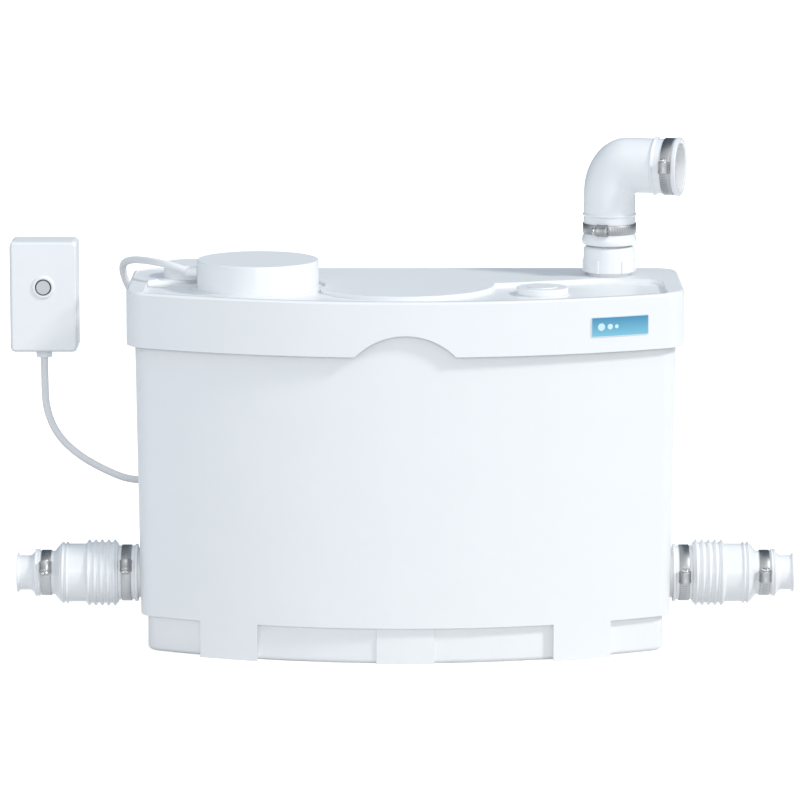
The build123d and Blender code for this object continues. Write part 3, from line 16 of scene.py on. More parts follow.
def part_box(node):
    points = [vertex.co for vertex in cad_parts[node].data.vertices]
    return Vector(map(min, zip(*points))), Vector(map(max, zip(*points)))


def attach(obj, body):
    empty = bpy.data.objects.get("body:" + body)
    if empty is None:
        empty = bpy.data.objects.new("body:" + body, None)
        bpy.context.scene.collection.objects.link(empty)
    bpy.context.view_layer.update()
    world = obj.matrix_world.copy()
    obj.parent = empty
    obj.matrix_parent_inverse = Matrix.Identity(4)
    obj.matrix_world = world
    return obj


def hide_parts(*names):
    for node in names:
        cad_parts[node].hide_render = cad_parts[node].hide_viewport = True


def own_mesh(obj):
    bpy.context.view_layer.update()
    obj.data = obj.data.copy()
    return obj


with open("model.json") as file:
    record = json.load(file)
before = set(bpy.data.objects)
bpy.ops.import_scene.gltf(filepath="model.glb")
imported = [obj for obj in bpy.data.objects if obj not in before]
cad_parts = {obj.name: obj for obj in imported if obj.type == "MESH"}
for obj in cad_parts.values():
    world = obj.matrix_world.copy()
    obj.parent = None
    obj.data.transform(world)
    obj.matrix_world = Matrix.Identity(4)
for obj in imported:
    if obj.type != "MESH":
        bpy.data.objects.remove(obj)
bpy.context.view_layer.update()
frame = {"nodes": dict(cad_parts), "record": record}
scene = bpy.context.scene
MM = 0.001

# %% [markdown]
# The camera comes before anything is made. A long lens from four metres away keeps the sides of the
# tank nearly parallel, and a small downward tilt shows the lid's surface as a shallow band.

# %% Camera
camera_data = bpy.data.cameras.new("camera")
camera_data.lens = 216
camera_data.sensor_width = 36
camera = bpy.data.objects.new("camera", camera_data)
camera.location = (-0.00467, -4.10809, 0.90575)
camera.rotation_euler = (radians(80.45), 0, 0)
scene.collection.objects.link(camera)
scene.camera = camera
scene.view_settings.view_transform = "Standard"
print("camera lens", camera_data.lens, "mm")

# %% [markdown]
# The flex to the push-button box is a real length of round cable, so it is drawn as one smooth curve
# that leaves the motor cap's gland, sags over the lid's edge, runs down behind the tank through a clip
# and rises in a loop into the box. A spline with few control points bends as evenly as a cable does.

# %% Control cable
cable_route = [
    (-188.4, 0, 327.3), (-202.16, 3.43, 332.18), (-217.5, 19, 333), (-228, 44, 331),
    (-240, 71, 328), (-250.3, 95, 321.5), (-249.6, 111, 306), (-241, 117.5, 288),
    (-222, 112, 266), (-204, 103.83, 231), (-204, 103.83, 172), (-207, 106, 143),
    (-222, 110, 125), (-245, 111.5, 123), (-268, 111, 132.5), (-290.8, 110.5, 145.5),
    (-310, 111, 163.5), (-320, 112, 186.5), (-321.2, 112.5, 211), (-321.2, 112.5, 235),
]
cable_radius = 3.25
cable_curve = bpy.data.curves.new("control_cable_line", "CURVE")
cable_curve.dimensions = "3D"
cable_spline = cable_curve.splines.new("NURBS")
cable_spline.points.add(len(cable_route) - 1)
for control, place in zip(cable_spline.points, cable_route):
    control.co = (place[0] * MM, place[1] * MM, place[2] * MM, 1)
cable_spline.order_u = 3
cable_spline.use_endpoint_u = True
cable_spline.resolution_u = 16
cable_curve.bevel_depth = cable_radius * MM
cable_curve.bevel_resolution = 8
cable_curve.use_fill_caps = True
cable = bpy.data.objects.new("cable_sheath", cable_curve)
scene.collection.objects.link(cable)
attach(cable, "unit")
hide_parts("control_cable")
print("cable control points:", len(cable_route))

# %% [markdown]
# Node trees are long to write by hand. This small class wraps one output of a node, so that plain
# arithmetic on it adds Math nodes, and one method adds any other node. It serves materials, the world
# and Geometry Nodes alike, because all three keep their nodes in the same kind of tree.

# %% Node arithmetic
class Wire:
    """One output of a node, with arithmetic that adds Math nodes to its tree."""

    def __init__(self, tree, socket=None):
        self.tree = tree
        self.socket = socket

    def node(self, kind, settings=None, inputs=None, output=0):
        """Any node: its type, its settings first, then values or links by socket."""
        made = self.tree.nodes.new(kind)
        for key, value in (settings or {}).items():
            setattr(made, key, value)
        for key, value in (inputs or {}).items():
            for one in value if isinstance(value, list) else [value]:
                if isinstance(one, Wire):
                    self.tree.links.new(one.socket, made.inputs[key])
                else:
                    made.inputs[key].default_value = one
        return Wire(self.tree, made.outputs[output] if made.outputs else None)

    def out(self, name):
        """Another output of the same node."""
        return Wire(self.tree, self.socket.node.outputs[name])

    def maths(self, operation, first, second=0.0):
        """A Math node in the same tree."""
        return self.node("ShaderNodeMath", {"operation": operation}, {0: first, 1: second})

    def __add__(self, other):
        return self.maths("ADD", self, other)

    def __radd__(self, other):
        return self.maths("ADD", other, self)

    def __sub__(self, other):
        return self.maths("SUBTRACT", self, other)

    def __rsub__(self, other):
        return self.maths("SUBTRACT", other, self)

    def __mul__(self, other):
        return self.maths("MULTIPLY", self, other)

    def __rmul__(self, other):
        return self.maths("MULTIPLY", other, self)

    def __truediv__(self, other):
        return self.maths("DIVIDE", self, other)


def blend_colours(factor, first, second):
    """Mix node for two colours."""
    return factor.node("ShaderNodeMix", {"data_type": "RGBA"}, {0: factor, 6: first, 7: second}, output=2)


print("node arithmetic ready")

# %% [markdown]
# The studio is plain. One lamp stands high at the right and casts the short soft shadows to the left.
# A large soft lamp in front fills the front, and the world gives a dim, slightly blue light to matt
# surfaces. The background is white only for camera, glossy and transmission rays, so it adds no light.
# The floor is pale and keeps the shadow; what it shows the camera is lifted, so that it ends in white.

# %% Floor and world
sky_fill = (0.625, 0.695, 0.77, 1)
sky_white = (1, 1, 1, 1)
paper_colour = (0.6, 0.6, 0.6, 1)
paper_glow = 0.72
world = bpy.data.worlds.new("studio")
scene.world = world
world.use_nodes = True
sky = Wire(world.node_tree)
sky_shader = world.node_tree.nodes["Background"]
rays = sky.node("ShaderNodeLightPath", output="Is Camera Ray")
sees_white = sky.maths("MINIMUM", rays + rays.out("Is Glossy Ray") + rays.out("Is Transmission Ray"), 1.0)
sky_colour = blend_colours(sees_white, sky_fill, sky_white)
world.node_tree.links.new(sky_colour.socket, sky_shader.inputs["Color"])

floor_mesh = bpy.data.meshes.new("floor")
floor_mesh.from_pydata([(-6, -6, 0), (6, -6, 0), (6, 9, 0), (-6, 9, 0)], [], [(0, 1, 2, 3)])
floor_object = bpy.data.objects.new("floor", floor_mesh)
scene.collection.objects.link(floor_object)
floor_finish = bpy.data.materials.new("floor_paper")
floor_finish.use_nodes = True
paper = Wire(floor_finish.node_tree)
paper_shader = floor_finish.node_tree.nodes["Principled BSDF"]
paper_shader.inputs["Base Color"].default_value = paper_colour
paper_shader.inputs["Roughness"].default_value = 0.9
paper_shader.inputs["Specular IOR Level"].default_value = 0.0
paper_rays = paper.node("ShaderNodeLightPath", output="Is Camera Ray")
paper_sees = paper.maths("MINIMUM", paper_rays + paper_rays.out("Is Glossy Ray"), 1.0)
paper_lift = paper.node("ShaderNodeEmission", {}, {"Strength": paper_sees * paper_glow})
paper_matt = Wire(paper.tree, paper_shader.outputs[0])
paper_sum = paper.node("ShaderNodeAddShader", {}, {0: paper_matt, 1: paper_lift})
paper.tree.links.new(paper_sum.socket, paper.tree.nodes["Material Output"].inputs["Surface"])
floor_mesh.materials.append(floor_finish)
print("floor reaches", floor_mesh.vertices[2].co[:])


# %% Lamps
def aim(lamp_object, direction):
    """Point a lamp along a direction and put it in the scene."""
    lamp_object.rotation_mode = "QUATERNION"
    lamp_object.rotation_quaternion = Vector(direction).to_track_quat("-Z", "Y")
    scene.collection.objects.link(lamp_object)


lamp_white = (1.0, 0.98, 0.945)
key_light = bpy.data.lights.new("key_lamp", "SUN")
key_light.energy = 1.56
key_light.angle = radians(9)
key_light.color = lamp_white
aim(bpy.data.objects.new("key_lamp", key_light), (-8.85, 3.94, -7.8))

front_light = bpy.data.lights.new("front_lamp", "AREA")
front_light.shape = "RECTANGLE"
front_light.size = 1.4
front_light.size_y = 1.0
front_light.energy = 44
front_light.color = lamp_white
front_lamp = bpy.data.objects.new("front_lamp", front_light)
front_lamp.location = (0.1, -4.6, 1.5)
unit_middle = Vector((0, 0, 0.2))
aim(front_lamp, unit_middle - front_lamp.location)
print("lamps:", key_light.energy, front_light.energy)

# %% [markdown]
# White plastic looks plain, but its outline is drawn by what its edges mirror. Four dark panels that
# only glossy rays see stand behind, above and beside the unit, as black card does in a product studio.
# They give the steel bands their dark ends and put a thin dark line along the white edges.

# %% Dark cards
card_blue = (0.05, 0.09, 0.15)
left, right, forward, near, far, low, high = -3, 3, -0.2, 0.6, 2.2, 0.02, 3.0


def dark_card(name, corners):
    """A stage panel that only glossy rays see."""
    mesh = bpy.data.meshes.new(name)
    mesh.from_pydata(corners, [], [(0, 1, 2, 3)])
    card = bpy.data.objects.new(name, mesh)
    scene.collection.objects.link(card)
    finish = bpy.data.materials.new(name)
    finish.use_nodes = True
    nodes = finish.node_tree.nodes
    nodes["Principled BSDF"].inputs["Base Color"].default_value = (0, 0, 0, 1)
    nodes["Principled BSDF"].inputs["Specular IOR Level"].default_value = 0.0
    nodes["Principled BSDF"].inputs["Emission Color"].default_value = (*card_blue, 1)
    nodes["Principled BSDF"].inputs["Emission Strength"].default_value = 1.0
    mesh.materials.append(finish)
    card.visible_camera = False
    card.visible_diffuse = False
    card.visible_shadow = False
    card.visible_transmission = False


cards = {
    "card_behind": [(left, far, low), (right, far, low), (right, far, high), (left, far, high)],
    "card_above": [(left, forward, high), (right, forward, high), (right, far, high), (left, far, high)],
    "card_left": [(left, near, low), (left, far, low), (left, far, high), (left, near, high)],
    "card_right": [(right, near, low), (right, far, low), (right, far, high), (right, near, high)],
}
for card_name, corners in cards.items():
    dark_card(card_name, corners)
print("cards ready")

# %% [markdown]
# Every finish is procedural and reads Object coordinates, so a pattern stays on its piece from all
# sides. Moulded plastic has an almost even colour that drifts over the length of a hand, and a fine
# grain from the mould that shows as a soft bump. A Bevel node rounds the normals at sharp edges, so
# that they catch light as moulded edges do. Rubber has the same build with less grain and more gloss.

# %% Plastic and rubber finishes
finishes = {}


def new_finish(name, constants):
    """A material with constants on its shader's own sockets, and its Object coordinates."""
    material = bpy.data.materials.new(name)
    material.use_nodes = True
    finishes[name] = material
    shader = material.node_tree.nodes["Principled BSDF"]
    for socket, value in constants.items():
        shader.inputs[socket].default_value = value
    here = Wire(material.node_tree).node("ShaderNodeTexCoord", output="Object")
    return here, shader


def connect(shader, **links):
    """Link wires to the shader's sockets."""
    for name, wire in links.items():
        wire.tree.links.new(wire.socket, shader.inputs[name.replace("_", " ")])


def cloudy(here, scale, detail=2.0):
    """Noise at a scale given in repeats per metre."""
    return here.node("ShaderNodeTexNoise", {}, {"Vector": here, "Scale": scale, "Detail": detail})


def bumped(height, strength, distance, round_edges=0.0):
    """A Bump node over a height, on normals that are rounded at sharp edges."""
    inputs = {"Strength": strength, "Distance": distance, "Height": height}
    if round_edges:
        inputs["Normal"] = height.node("ShaderNodeBevel", {"samples": 4}, {"Radius": round_edges})
    return height.node("ShaderNodeBump", {}, inputs)


def moulded(name, colour, roughness, drift=0.03, grain=0.1, grain_scale=750, edge=0.0, gloss=0.12):
    """Moulded plastic or rubber: drifting colour, uneven gloss and a fine grain."""
    here, shader = new_finish(name, {"IOR": 1.5})
    low = [part * (1 - drift) for part in colour]
    fine = cloudy(here, grain_scale, 2.0)
    connect(shader, Base_Color=blend_colours(cloudy(here, 22, 3.0), (*low, 1), (*colour, 1)),
            Roughness=cloudy(here, 140, 2.0) * gloss + (roughness - gloss / 2),
            Normal=bumped(fine, grain, 0.0004, edge))


moulded("white_plastic", (0.862, 0.87, 0.877), 0.42, edge=0.0006)
moulded("white_rubber", (0.865, 0.872, 0.88), 0.3, grain=0.015, grain_scale=420, gloss=0.06)
moulded("black_rubber", (0.02, 0.02, 0.022), 0.6)
moulded("grey_plastic", (0.42, 0.44, 0.46), 0.4)
moulded("dark_plastic", (0.07, 0.07, 0.08), 0.36)
moulded("button_grey", (0.58, 0.6, 0.615), 0.35, grain=0.05)
moulded("cord_white", (0.76, 0.79, 0.82), 0.38, grain=0.03)
print("finishes:", sorted(finishes))

# %% [markdown]
# Activated carbon is a bed of dull black grains, so its bump comes from Voronoi cells, and a few
# facets are paler than the rest.

# %% Charcoal finish
here, shader = new_finish("charcoal", {"IOR": 1.45})
grains = here.node("ShaderNodeTexVoronoi", {}, {"Vector": here, "Scale": 420.0})
facets = here.node("ShaderNodeTexVoronoi", {}, {"Vector": here, "Scale": 420.0}, output="Color")
pale = facets.node("ShaderNodeSeparateColor", {}, {0: facets}, output="Red")
connect(shader, Base_Color=blend_colours(pale, (0.012, 0.012, 0.013, 1), (0.06, 0.06, 0.065, 1)),
        Roughness=pale * 0.3 + 0.55, Normal=bumped(1 - grains * 1.4, 0.9, 0.001))
print("charcoal ready")

# %% [markdown]
# The metals need something to reflect, which the white background and the cards give. Rolled steel is
# streaked along the sheet, so its noise is stretched, and the same streaks change its gloss and height.

# %% Metal finishes
def brushed(name, colour, roughness, stretch, dark=0.75, depth=0.12):
    """Rolled or turned metal with fine streaks; stretch gives repeats per metre on each axis."""
    here, shader = new_finish(name, {"Metallic": 1.0})
    pulled = here.node("ShaderNodeMapping", {}, {"Vector": here, "Scale": stretch})
    streaks = cloudy(pulled, 1.0, 4.0)
    connect(shader,
            Base_Color=blend_colours(streaks, (*[part * dark for part in colour], 1), (*colour, 1)),
            Roughness=streaks * 0.2 + (roughness - 0.1), Normal=bumped(streaks, depth, 0.0002))


brushed("screw_steel", (0.62, 0.63, 0.64), 0.2, (900, 900, 900), dark=0.85)
brushed("motor_steel", (0.5, 0.5, 0.5), 0.35, (150, 150, 2500))
brushed("lamination_iron", (0.32, 0.31, 0.3), 0.45, (30, 30, 4000), dark=0.35, depth=0.5)
print("metals ready")

# %% [markdown]
# A worm drive band is rolled stainless steel with a row of slanted slots that the worm pulls on. The
# slots follow the band round, so this finish reads the band's own UV map, which is laid out in
# millimetres: u runs along the band from the housing, and v runs across it. The slots are a sunken
# bump, and their steel is painted darker as painted shade.

# %% Band finish
slot_pitch, slot_share, slot_slant, slot_reach = 2.4, 0.17, 0.18, 2.5
slots_start, slots_end = 2.0, 44.0
here, shader = new_finish("clamp_steel", {"Metallic": 1.0})
sheet = here.node("ShaderNodeUVMap", {"uv_map": "band"})
along_across = sheet.node("ShaderNodeSeparateXYZ", {}, {0: sheet})
along, across = along_across.out("X"), along_across.out("Y")
pulled = sheet.node("ShaderNodeMapping", {}, {"Vector": sheet, "Scale": (0.15, 3.0, 1.0)})
streaks = cloudy(pulled, 1.0, 4.0)
slanted = (along + across * slot_slant) / slot_pitch
step = slanted - slanted.maths("FLOOR", slanted)
in_slot = slanted.maths("LESS_THAN", slanted.maths("ABSOLUTE", step - 0.5), slot_share)
in_row = slanted.maths("LESS_THAN", slanted.maths("ABSOLUTE", across), slot_reach)
past_start = slanted.maths("GREATER_THAN", along, slots_start)
slot_mask = in_slot * in_row * (past_start * slanted.maths("LESS_THAN", along, slots_end))
steel = blend_colours(streaks, (0.33, 0.345, 0.36, 1), (0.45, 0.46, 0.475, 1))
# Inside the slots the steel is painted darker: painted shade in the slots, which are only a sunken bump here.
connect(shader, Base_Color=blend_colours(slot_mask, steel, (0.3, 0.31, 0.32, 1)),
        Roughness=streaks * 0.2 + 0.36 + slot_mask * 0.1,
        Normal=bumped(streaks * 0.2 - slot_mask * 0.5, 0.3, 0.0002))
print("band finish nodes:", len(finishes["clamp_steel"].node_tree.nodes))

# %% [markdown]
# Enamelled copper wire lies in bundles, so a wave texture bends the surface into strands. The copper
# is painted darker in the hollows between the strands: painted shade between the wires.

# %% Copper finish
here, shader = new_finish("winding_copper", {"Metallic": 0.9, "Coat Weight": 0.4})
strands = here.node("ShaderNodeTexWave", {"wave_type": "RINGS", "rings_direction": "Z"},
                    {"Vector": here, "Scale": 300.0, "Distortion": 3.0, "Detail": 2.0}, output="Fac")
# Darker copper in the hollows of the strands is painted shade.
connect(shader, Base_Color=blend_colours(strands, (0.24, 0.08, 0.03, 1), (0.72, 0.32, 0.14, 1)),
        Roughness=0.45 - strands * 0.2, Normal=bumped(strands, 0.5, 0.0005))
print("copper ready")

# %% [markdown]
# The control board is green laminate with paler copper tracks. The badge is a thin printed plate: a
# plain blue that gets lighter downwards, with three pale discs and a thin pale border. The board's
# tracks and the badge's shapes are all cut from Object coordinates with plain steps.

# %% Board and badge finishes
here, shader = new_finish("board_green", {"IOR": 1.5})
tracks = here.node("ShaderNodeTexVoronoi", {"feature": "DISTANCE_TO_EDGE"}, {"Vector": here, "Scale": 220.0})
on_track = tracks.maths("LESS_THAN", tracks, 0.12)
connect(shader, Base_Color=blend_colours(on_track, (0.01, 0.09, 0.04, 1), (0.06, 0.3, 0.14, 1)),
        Roughness=0.45 - on_track * 0.15, Normal=bumped(on_track, 0.4, 0.0001))

here, shader = new_finish("badge_blue", {"IOR": 1.5, "Coat Weight": 0.3, "Coat Roughness": 0.1})
parts = here.node("ShaderNodeSeparateXYZ", {}, {0: here})
badge_low, badge_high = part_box("badge")
badge_wide, badge_tall, badge_border = 0.0535, 0.0173, 0.0007
badge_turn = atan2(badge_high[1] - badge_low[1], badge_high[0] - badge_low[0])
across = ((parts.out("X") - (badge_low[0] + badge_high[0]) / 2) * cos(badge_turn)
          + (parts.out("Y") - (badge_low[1] + badge_high[1]) / 2) * sin(badge_turn))
upward = parts.out("Z") - (badge_low[2] + badge_high[2]) / 2
share = upward / badge_tall + 0.5
blue = blend_colours(share, (0.19, 0.52, 0.66, 1), (0.03, 0.23, 0.41, 1))
discs = []
for middle, size in ((-0.0175, 0.0032), (-0.0095, 0.0024), (-0.0035, 0.0017)):
    away = (across - middle) * (across - middle) + upward * upward
    discs.append(share.maths("LESS_THAN", away, size * size))
printed = blend_colours(discs[0] + discs[1] + discs[2], blue, (0.6, 0.8, 0.87, 1))
edge_wide = share.maths("GREATER_THAN", share.maths("ABSOLUTE", across), badge_wide / 2 - badge_border)
edge_tall = share.maths("GREATER_THAN", share.maths("ABSOLUTE", upward), badge_tall / 2 - badge_border)
border = share.maths("MAXIMUM", edge_wide, edge_tall)
connect(shader, Base_Color=blend_colours(border, printed, (0.62, 0.72, 0.8, 1)),
        Roughness=cloudy(here, 300) * 0.1 + 0.25)
print("badge lies at", [round(v, 4) for v in badge_low])

# %% [markdown]
# The record says which finish each solid has. Every carried-over solid gets its procedural material
# here, also those inside the tank, which show when the unit is taken apart.

# %% Dress the solids
slots = {entry["node"]: entry["material_slot"] for entry in frame["record"]["subparts"]}
for name, solid in frame["nodes"].items():
    for place in solid.material_slots:
        place.material = finishes[slots[name]]
node_bodies = {node: body for body, nodes in frame["record"]["behaviour"]["bodies"].items() for node in nodes}

# %% [markdown]
# The solids arrive as loose triangles. A skin is a copy of one with its corners merged and its own
# normals. Triangles that lie in one plane are gathered first, and each plane weighs as much as its
# whole area, so that a flat wall stays flat and the small rounding beside it flows into it. Walls that
# meet at more than the crease angle keep a sharp edge. The rounding along the lid's bowed front comes
# in thin uneven triangles, but its true form is a ring round the bow's centre, so its uneven corners
# are taken out and its normals are worked out from the place. The solid keeps the collisions.

# %% Skins on the moulded solids
def link_piece(name, mesh, body, slot, *nodes):
    """Put a mesh in the scene as a piece that rides on a body and stands for its nodes."""
    piece = bpy.data.objects.new(name, mesh)
    scene.collection.objects.link(piece)
    mesh.materials.clear()
    mesh.materials.append(finishes[slot])
    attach(piece, body)
    if nodes:
        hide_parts(*nodes)
    return piece


flat_wall_area = 1e-4
same_plane = 0.999999


def plane_weights(work):
    """How much each face counts in the normals round it: little on a rounding, much on a flat wall."""
    weights = {}
    for seed in work.faces:
        if seed in weights:
            continue
        region, waiting = {seed}, [seed]
        while waiting:
            face = waiting.pop()
            for edge in face.edges:
                for other in edge.link_faces:
                    if other not in region and other.normal.dot(face.normal) > same_plane:
                        region.add(other)
                        waiting.append(other)
        share = sum(face.calc_area() for face in region) / flat_wall_area
        weights.update(dict.fromkeys(region, 1 + share * share))
    return weights


lid_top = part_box("lid")[1][2]
rounding_radius = 0.0032
bow_radius = 0.5
bow_centre = Vector((0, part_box("lid")[0][1] + bow_radius, 0))
rounding_play = 5e-5


def front_rounding(place):
    """The normal of the lid's rounded front edge at a place, or None away from that edge."""
    rise = place.z - lid_top + rounding_radius
    if not -1e-6 < rise <= rounding_radius:
        return None
    reach = sqrt(rounding_radius**2 - rise**2)
    outward_line = Vector((place.x, place.y, 0)) - bow_centre
    off_line = outward_line.length - (bow_radius - rounding_radius + reach)
    if outward_line.y > 0 or abs(off_line) > rounding_play:
        return None
    return outward_line.normalized() * (reach / rounding_radius) + Vector((0, 0, rise / rounding_radius))


def even_out(work):
    """Take out the uneven corners part way up the lid's front rounding."""
    slopes = [(vertex, front_rounding(vertex.co)) for vertex in work.verts]
    uneven = [vertex for vertex, slope in slopes if slope is not None and 0.01 < slope.z < 0.98]
    bmesh.ops.dissolve_verts(work, verts=uneven)
    bmesh.ops.triangulate(work, faces=[face for face in work.faces if len(face.verts) > 3])
    print("uneven corners taken out:", len(uneven))


def skin(node, crease=50):
    """Copy a solid, merge it and give it normals that follow its planes and roundings."""
    mesh = frame["nodes"][node].data.copy()
    work = bmesh.new()
    work.from_mesh(mesh)
    bmesh.ops.remove_doubles(work, verts=work.verts, dist=2e-6)
    if node == "lid":
        even_out(work)
    work.normal_update()
    weights = plane_weights(work)
    limit = cos(radians(crease))
    normals = []
    for face in work.faces:
        for corner in face.loops:
            total = face.normal * 1e-12
            for near in corner.vert.link_loops:
                if near.face.normal.dot(face.normal) > limit:
                    total = total + near.face.normal * (weights[near.face] * near.calc_angle())
            rounded = front_rounding(corner.vert.co) if node == "lid" else None
            if rounded is not None and rounded.dot(face.normal) > 0.05:
                total = rounded
            normals.append(total.normalized())
    work.to_mesh(mesh)
    work.free()
    mesh.polygons.foreach_set("use_smooth", [True] * len(mesh.polygons))
    mesh.normals_split_custom_set(normals)
    return link_piece(node + "_skin", mesh, node_bodies[node], slots[node], node)


for node in ("tank", "lid", "motor_cap", "switch_cap", "vent_cap", "box_cover", "box_base", "cap_gland",
             "box_gland", "outlet_neck", "elbow_tailpiece", "lid_screws", "motor_screws", "box_screws",
             "push_button", "cable_clip", "badge"):
    print(node, len(skin(node).data.polygons), "faces")

# %% [markdown]
# Turned pieces are swept round an axis. The tree below takes a profile, a row of points with the
# radius in x and the height in z, and lays a grid of it round the axis: each row of the grid reads its
# place from the profile, and the seam is merged. Sleeves, clamp bands and screws all come from it.

# %% The turning tree
def new_tree(name, sizes):
    """A Geometry Nodes tree with named inputs; gives the tree and its input wire."""
    tree = bpy.data.node_groups.new(name, "GeometryNodeTree")
    tree.interface.new_socket("Geometry", in_out="INPUT", socket_type="NodeSocketGeometry")
    for label, (kind, value) in sizes.items():
        socket = tree.interface.new_socket(label, in_out="INPUT", socket_type="NodeSocket" + kind)
        if value is not None:
            socket.default_value = value
    tree.interface.new_socket("Geometry", in_out="OUTPUT", socket_type="NodeSocketGeometry")
    return tree, Wire(tree).node("NodeGroupInput")


def end_tree(geometry, material):
    """Close a tree with Realize Instances and Set Material."""
    real = geometry.node("GeometryNodeRealizeInstances", {}, {0: geometry})
    painted = real.node("GeometryNodeSetMaterial", {}, {"Geometry": real, "Material": material})
    ended = painted.tree.nodes.new("NodeGroupOutput")
    painted.tree.links.new(painted.socket, ended.inputs[0])


turning_tree, given = new_tree("turning", {"Stations": ("Int", 8), "Sides": ("Int", 96),
                                           "Finish": ("Material", None)})
sides = given.out("Sides")
columns = sides + 1
grid = given.node("GeometryNodeMeshGrid", {}, {"Vertices X": given.out("Stations"), "Vertices Y": columns})
index = given.node("GeometryNodeInputIndex")
row = given.maths("FLOOR", (index + 0.5) / columns)
column = index - row * columns
angle = column * (2 * pi) / sides
place = given.node("GeometryNodeInputPosition")
profile = given.node("GeometryNodeSampleIndex", {"data_type": "FLOAT_VECTOR"},
                     {"Geometry": given.out("Geometry"), "Value": place, "Index": row})
station = profile.node("ShaderNodeSeparateXYZ", {}, {0: profile})
round_place = station.node("ShaderNodeCombineXYZ", {}, {
    "X": station.out("X") * station.maths("COSINE", angle),
    "Y": station.out("X") * station.maths("SINE", angle), "Z": station.out("Z")})
swept = given.node("GeometryNodeSetPosition", {}, {"Geometry": grid, "Position": round_place})
merged = given.node("GeometryNodeMergeByDistance", {}, {"Geometry": swept, "Distance": 1e-6})
end_tree(merged, given.out("Finish"))
print("turning tree nodes:", len(turning_tree.nodes))

# %% [markdown]
# A tree runs as a modifier on a start mesh. Its inputs are set by their identifiers before anything is
# evaluated, the result is kept as a plain mesh, and the start object goes away again.

# %% Run a tree
def grow(tree, start, values):
    """Run a tree on a start mesh and keep its result as a plain mesh."""
    source = bpy.data.objects.new("start", start)
    scene.collection.objects.link(source)
    modifier = source.modifiers.new("steps", "NODES")
    modifier.node_group = tree
    for item in tree.interface.items_tree:
        if item.in_out == "INPUT" and item.name in values:
            modifier[item.identifier] = values[item.name]
    ready = source.evaluated_get(bpy.context.evaluated_depsgraph_get())
    mesh = bpy.data.meshes.new_from_object(ready)
    source.modifiers.clear()
    bpy.data.objects.remove(source)
    return mesh


def point_mesh(points):
    """Loose points as a mesh, in metres from millimetres."""
    mesh = bpy.data.meshes.new("points")
    mesh.from_pydata([tuple(value * MM for value in point) for point in points], [], [])
    return mesh


def outward(mesh, crease=30):
    """Point a closed shell's faces outwards and mark its creases."""
    work = bmesh.new()
    work.from_mesh(mesh)
    bmesh.ops.remove_doubles(work, verts=work.verts, dist=1e-7)
    bmesh.ops.recalc_face_normals(work, faces=work.faces)
    work.to_mesh(mesh)
    work.free()
    mesh.polygons.foreach_set("use_smooth", [True] * len(mesh.polygons))
    mesh.set_sharp_from_angle(angle=radians(crease))
    return mesh


def turn(points, finish, sides=96, crease=30):
    """A closed turned mesh from (radius, height) points, in millimetres."""
    closed = list(points) + [points[0]]
    mesh = grow(turning_tree, point_mesh([(radius, 0, height) for radius, height in closed]),
                {"Stations": len(closed), "Sides": sides, "Finish": finishes[finish]})
    return outward(mesh, crease)


def stand(origin, x_axis, z_axis):
    """Matrix of a plane from its origin in millimetres, its x direction and its normal."""
    x_axis, z_axis = Vector(x_axis).normalized(), Vector(z_axis).normalized()
    y_axis = z_axis.cross(x_axis)
    matrix = Matrix((x_axis, y_axis, z_axis)).transposed().to_4x4()
    matrix.translation = Vector(origin) * MM
    return matrix


def placed(mesh, matrix):
    """The mesh with its place applied."""
    mesh.transform(matrix)
    return mesh


def joined(name, meshes):
    """Several meshes as one."""
    work = bmesh.new()
    for mesh in meshes:
        work.from_mesh(mesh)
    result = bpy.data.meshes.new(name)
    work.to_mesh(result)
    work.free()
    return result


print("turning ready")

# %% [markdown]
# The inlet sleeves are stepped rubber bellows: a lip at the tank, a smooth seat for the clamp, five
# pointed ribs, a plain body with two small ribs, a cone to a narrower tube with its own seat, and a
# rounded shoulder to the mouth. The ribs repeat at one pitch, so the profile lists them by rule.

# %% Sleeves
def sleeve_profile():
    """Outer stations (distance, radius) from the tank's wall to the mouth, then back inside."""
    stations = [(3.1, 24.6), (3.5, 25.1), (5.3, 25.1), (5.7, 24.7), (6.1, 23.6), (19.6, 23.6)]
    for rib in range(5):
        crest = 23.5 + rib * 5.6
        stations += [(crest - 2.8, 26.3), (crest - 2.1, 26.4), (crest - 0.7, 28.4), (crest - 0.25, 28.9),
                     (crest + 0.25, 28.9), (crest + 0.7, 28.4), (crest + 2.1, 26.4)]
    stations += [(48.8, 25.4), (50.0, 25.3)]
    for crest in (64.8, 68.6):
        stations += [(crest - 1.4, 25.3), (crest - 0.5, 26.7), (crest, 27.0), (crest + 0.5, 26.7),
                     (crest + 1.4, 25.3)]
    stations += [(70.5, 25.3), (73.2, 22.4), (75.2, 19.6), (76.4, 19.0), (87.6, 19.0), (88.3, 19.3),
                 (88.9, 20.4), (89.3, 20.6), (89.8, 20.4), (90.3, 19.9), (90.9, 20.4), (91.4, 20.6),
                 (92.5, 20.6), (94.2, 17.5), (95.8, 15.7), (97.5, 15.0), (106.3, 15.0), (106.9, 16.4),
                 (107.3, 16.9), (108.4, 16.9), (108.7, 16.5)]
    bore = [(108.7, 12.5), (92.5, 12.5), (91.5, 16.1), (67.5, 16.1), (66.5, 22.6), (24.1, 22.6),
            (24.1, 21.55), (3.1, 21.55)]
    return [(radius, distance) for distance, radius in stations + bore]


wall_x = 229.807
inlet_z = 62
for side, node in ((-1, "left_inlet_sleeve"), (1, "right_inlet_sleeve")):
    mesh = placed(turn(sleeve_profile(), "white_rubber", sides=128, crease=40),
                  stand((side * wall_x, 0, inlet_z), (0, 1, 0), (side, 0, 0)))
    link_piece(node + "_rubber", mesh, "unit", "white_rubber", node)
    print(node, len(mesh.polygons), "faces")

# %% [markdown]
# The elbow is one thick rubber moulding with a tight inner corner and a full, round outer bend. Its
# rings all pivot about a line just under the inner corner, and reach out to an elliptical outer curve,
# so that the inside stays sharp while the outside swells. Beads and lips are rings that step out.

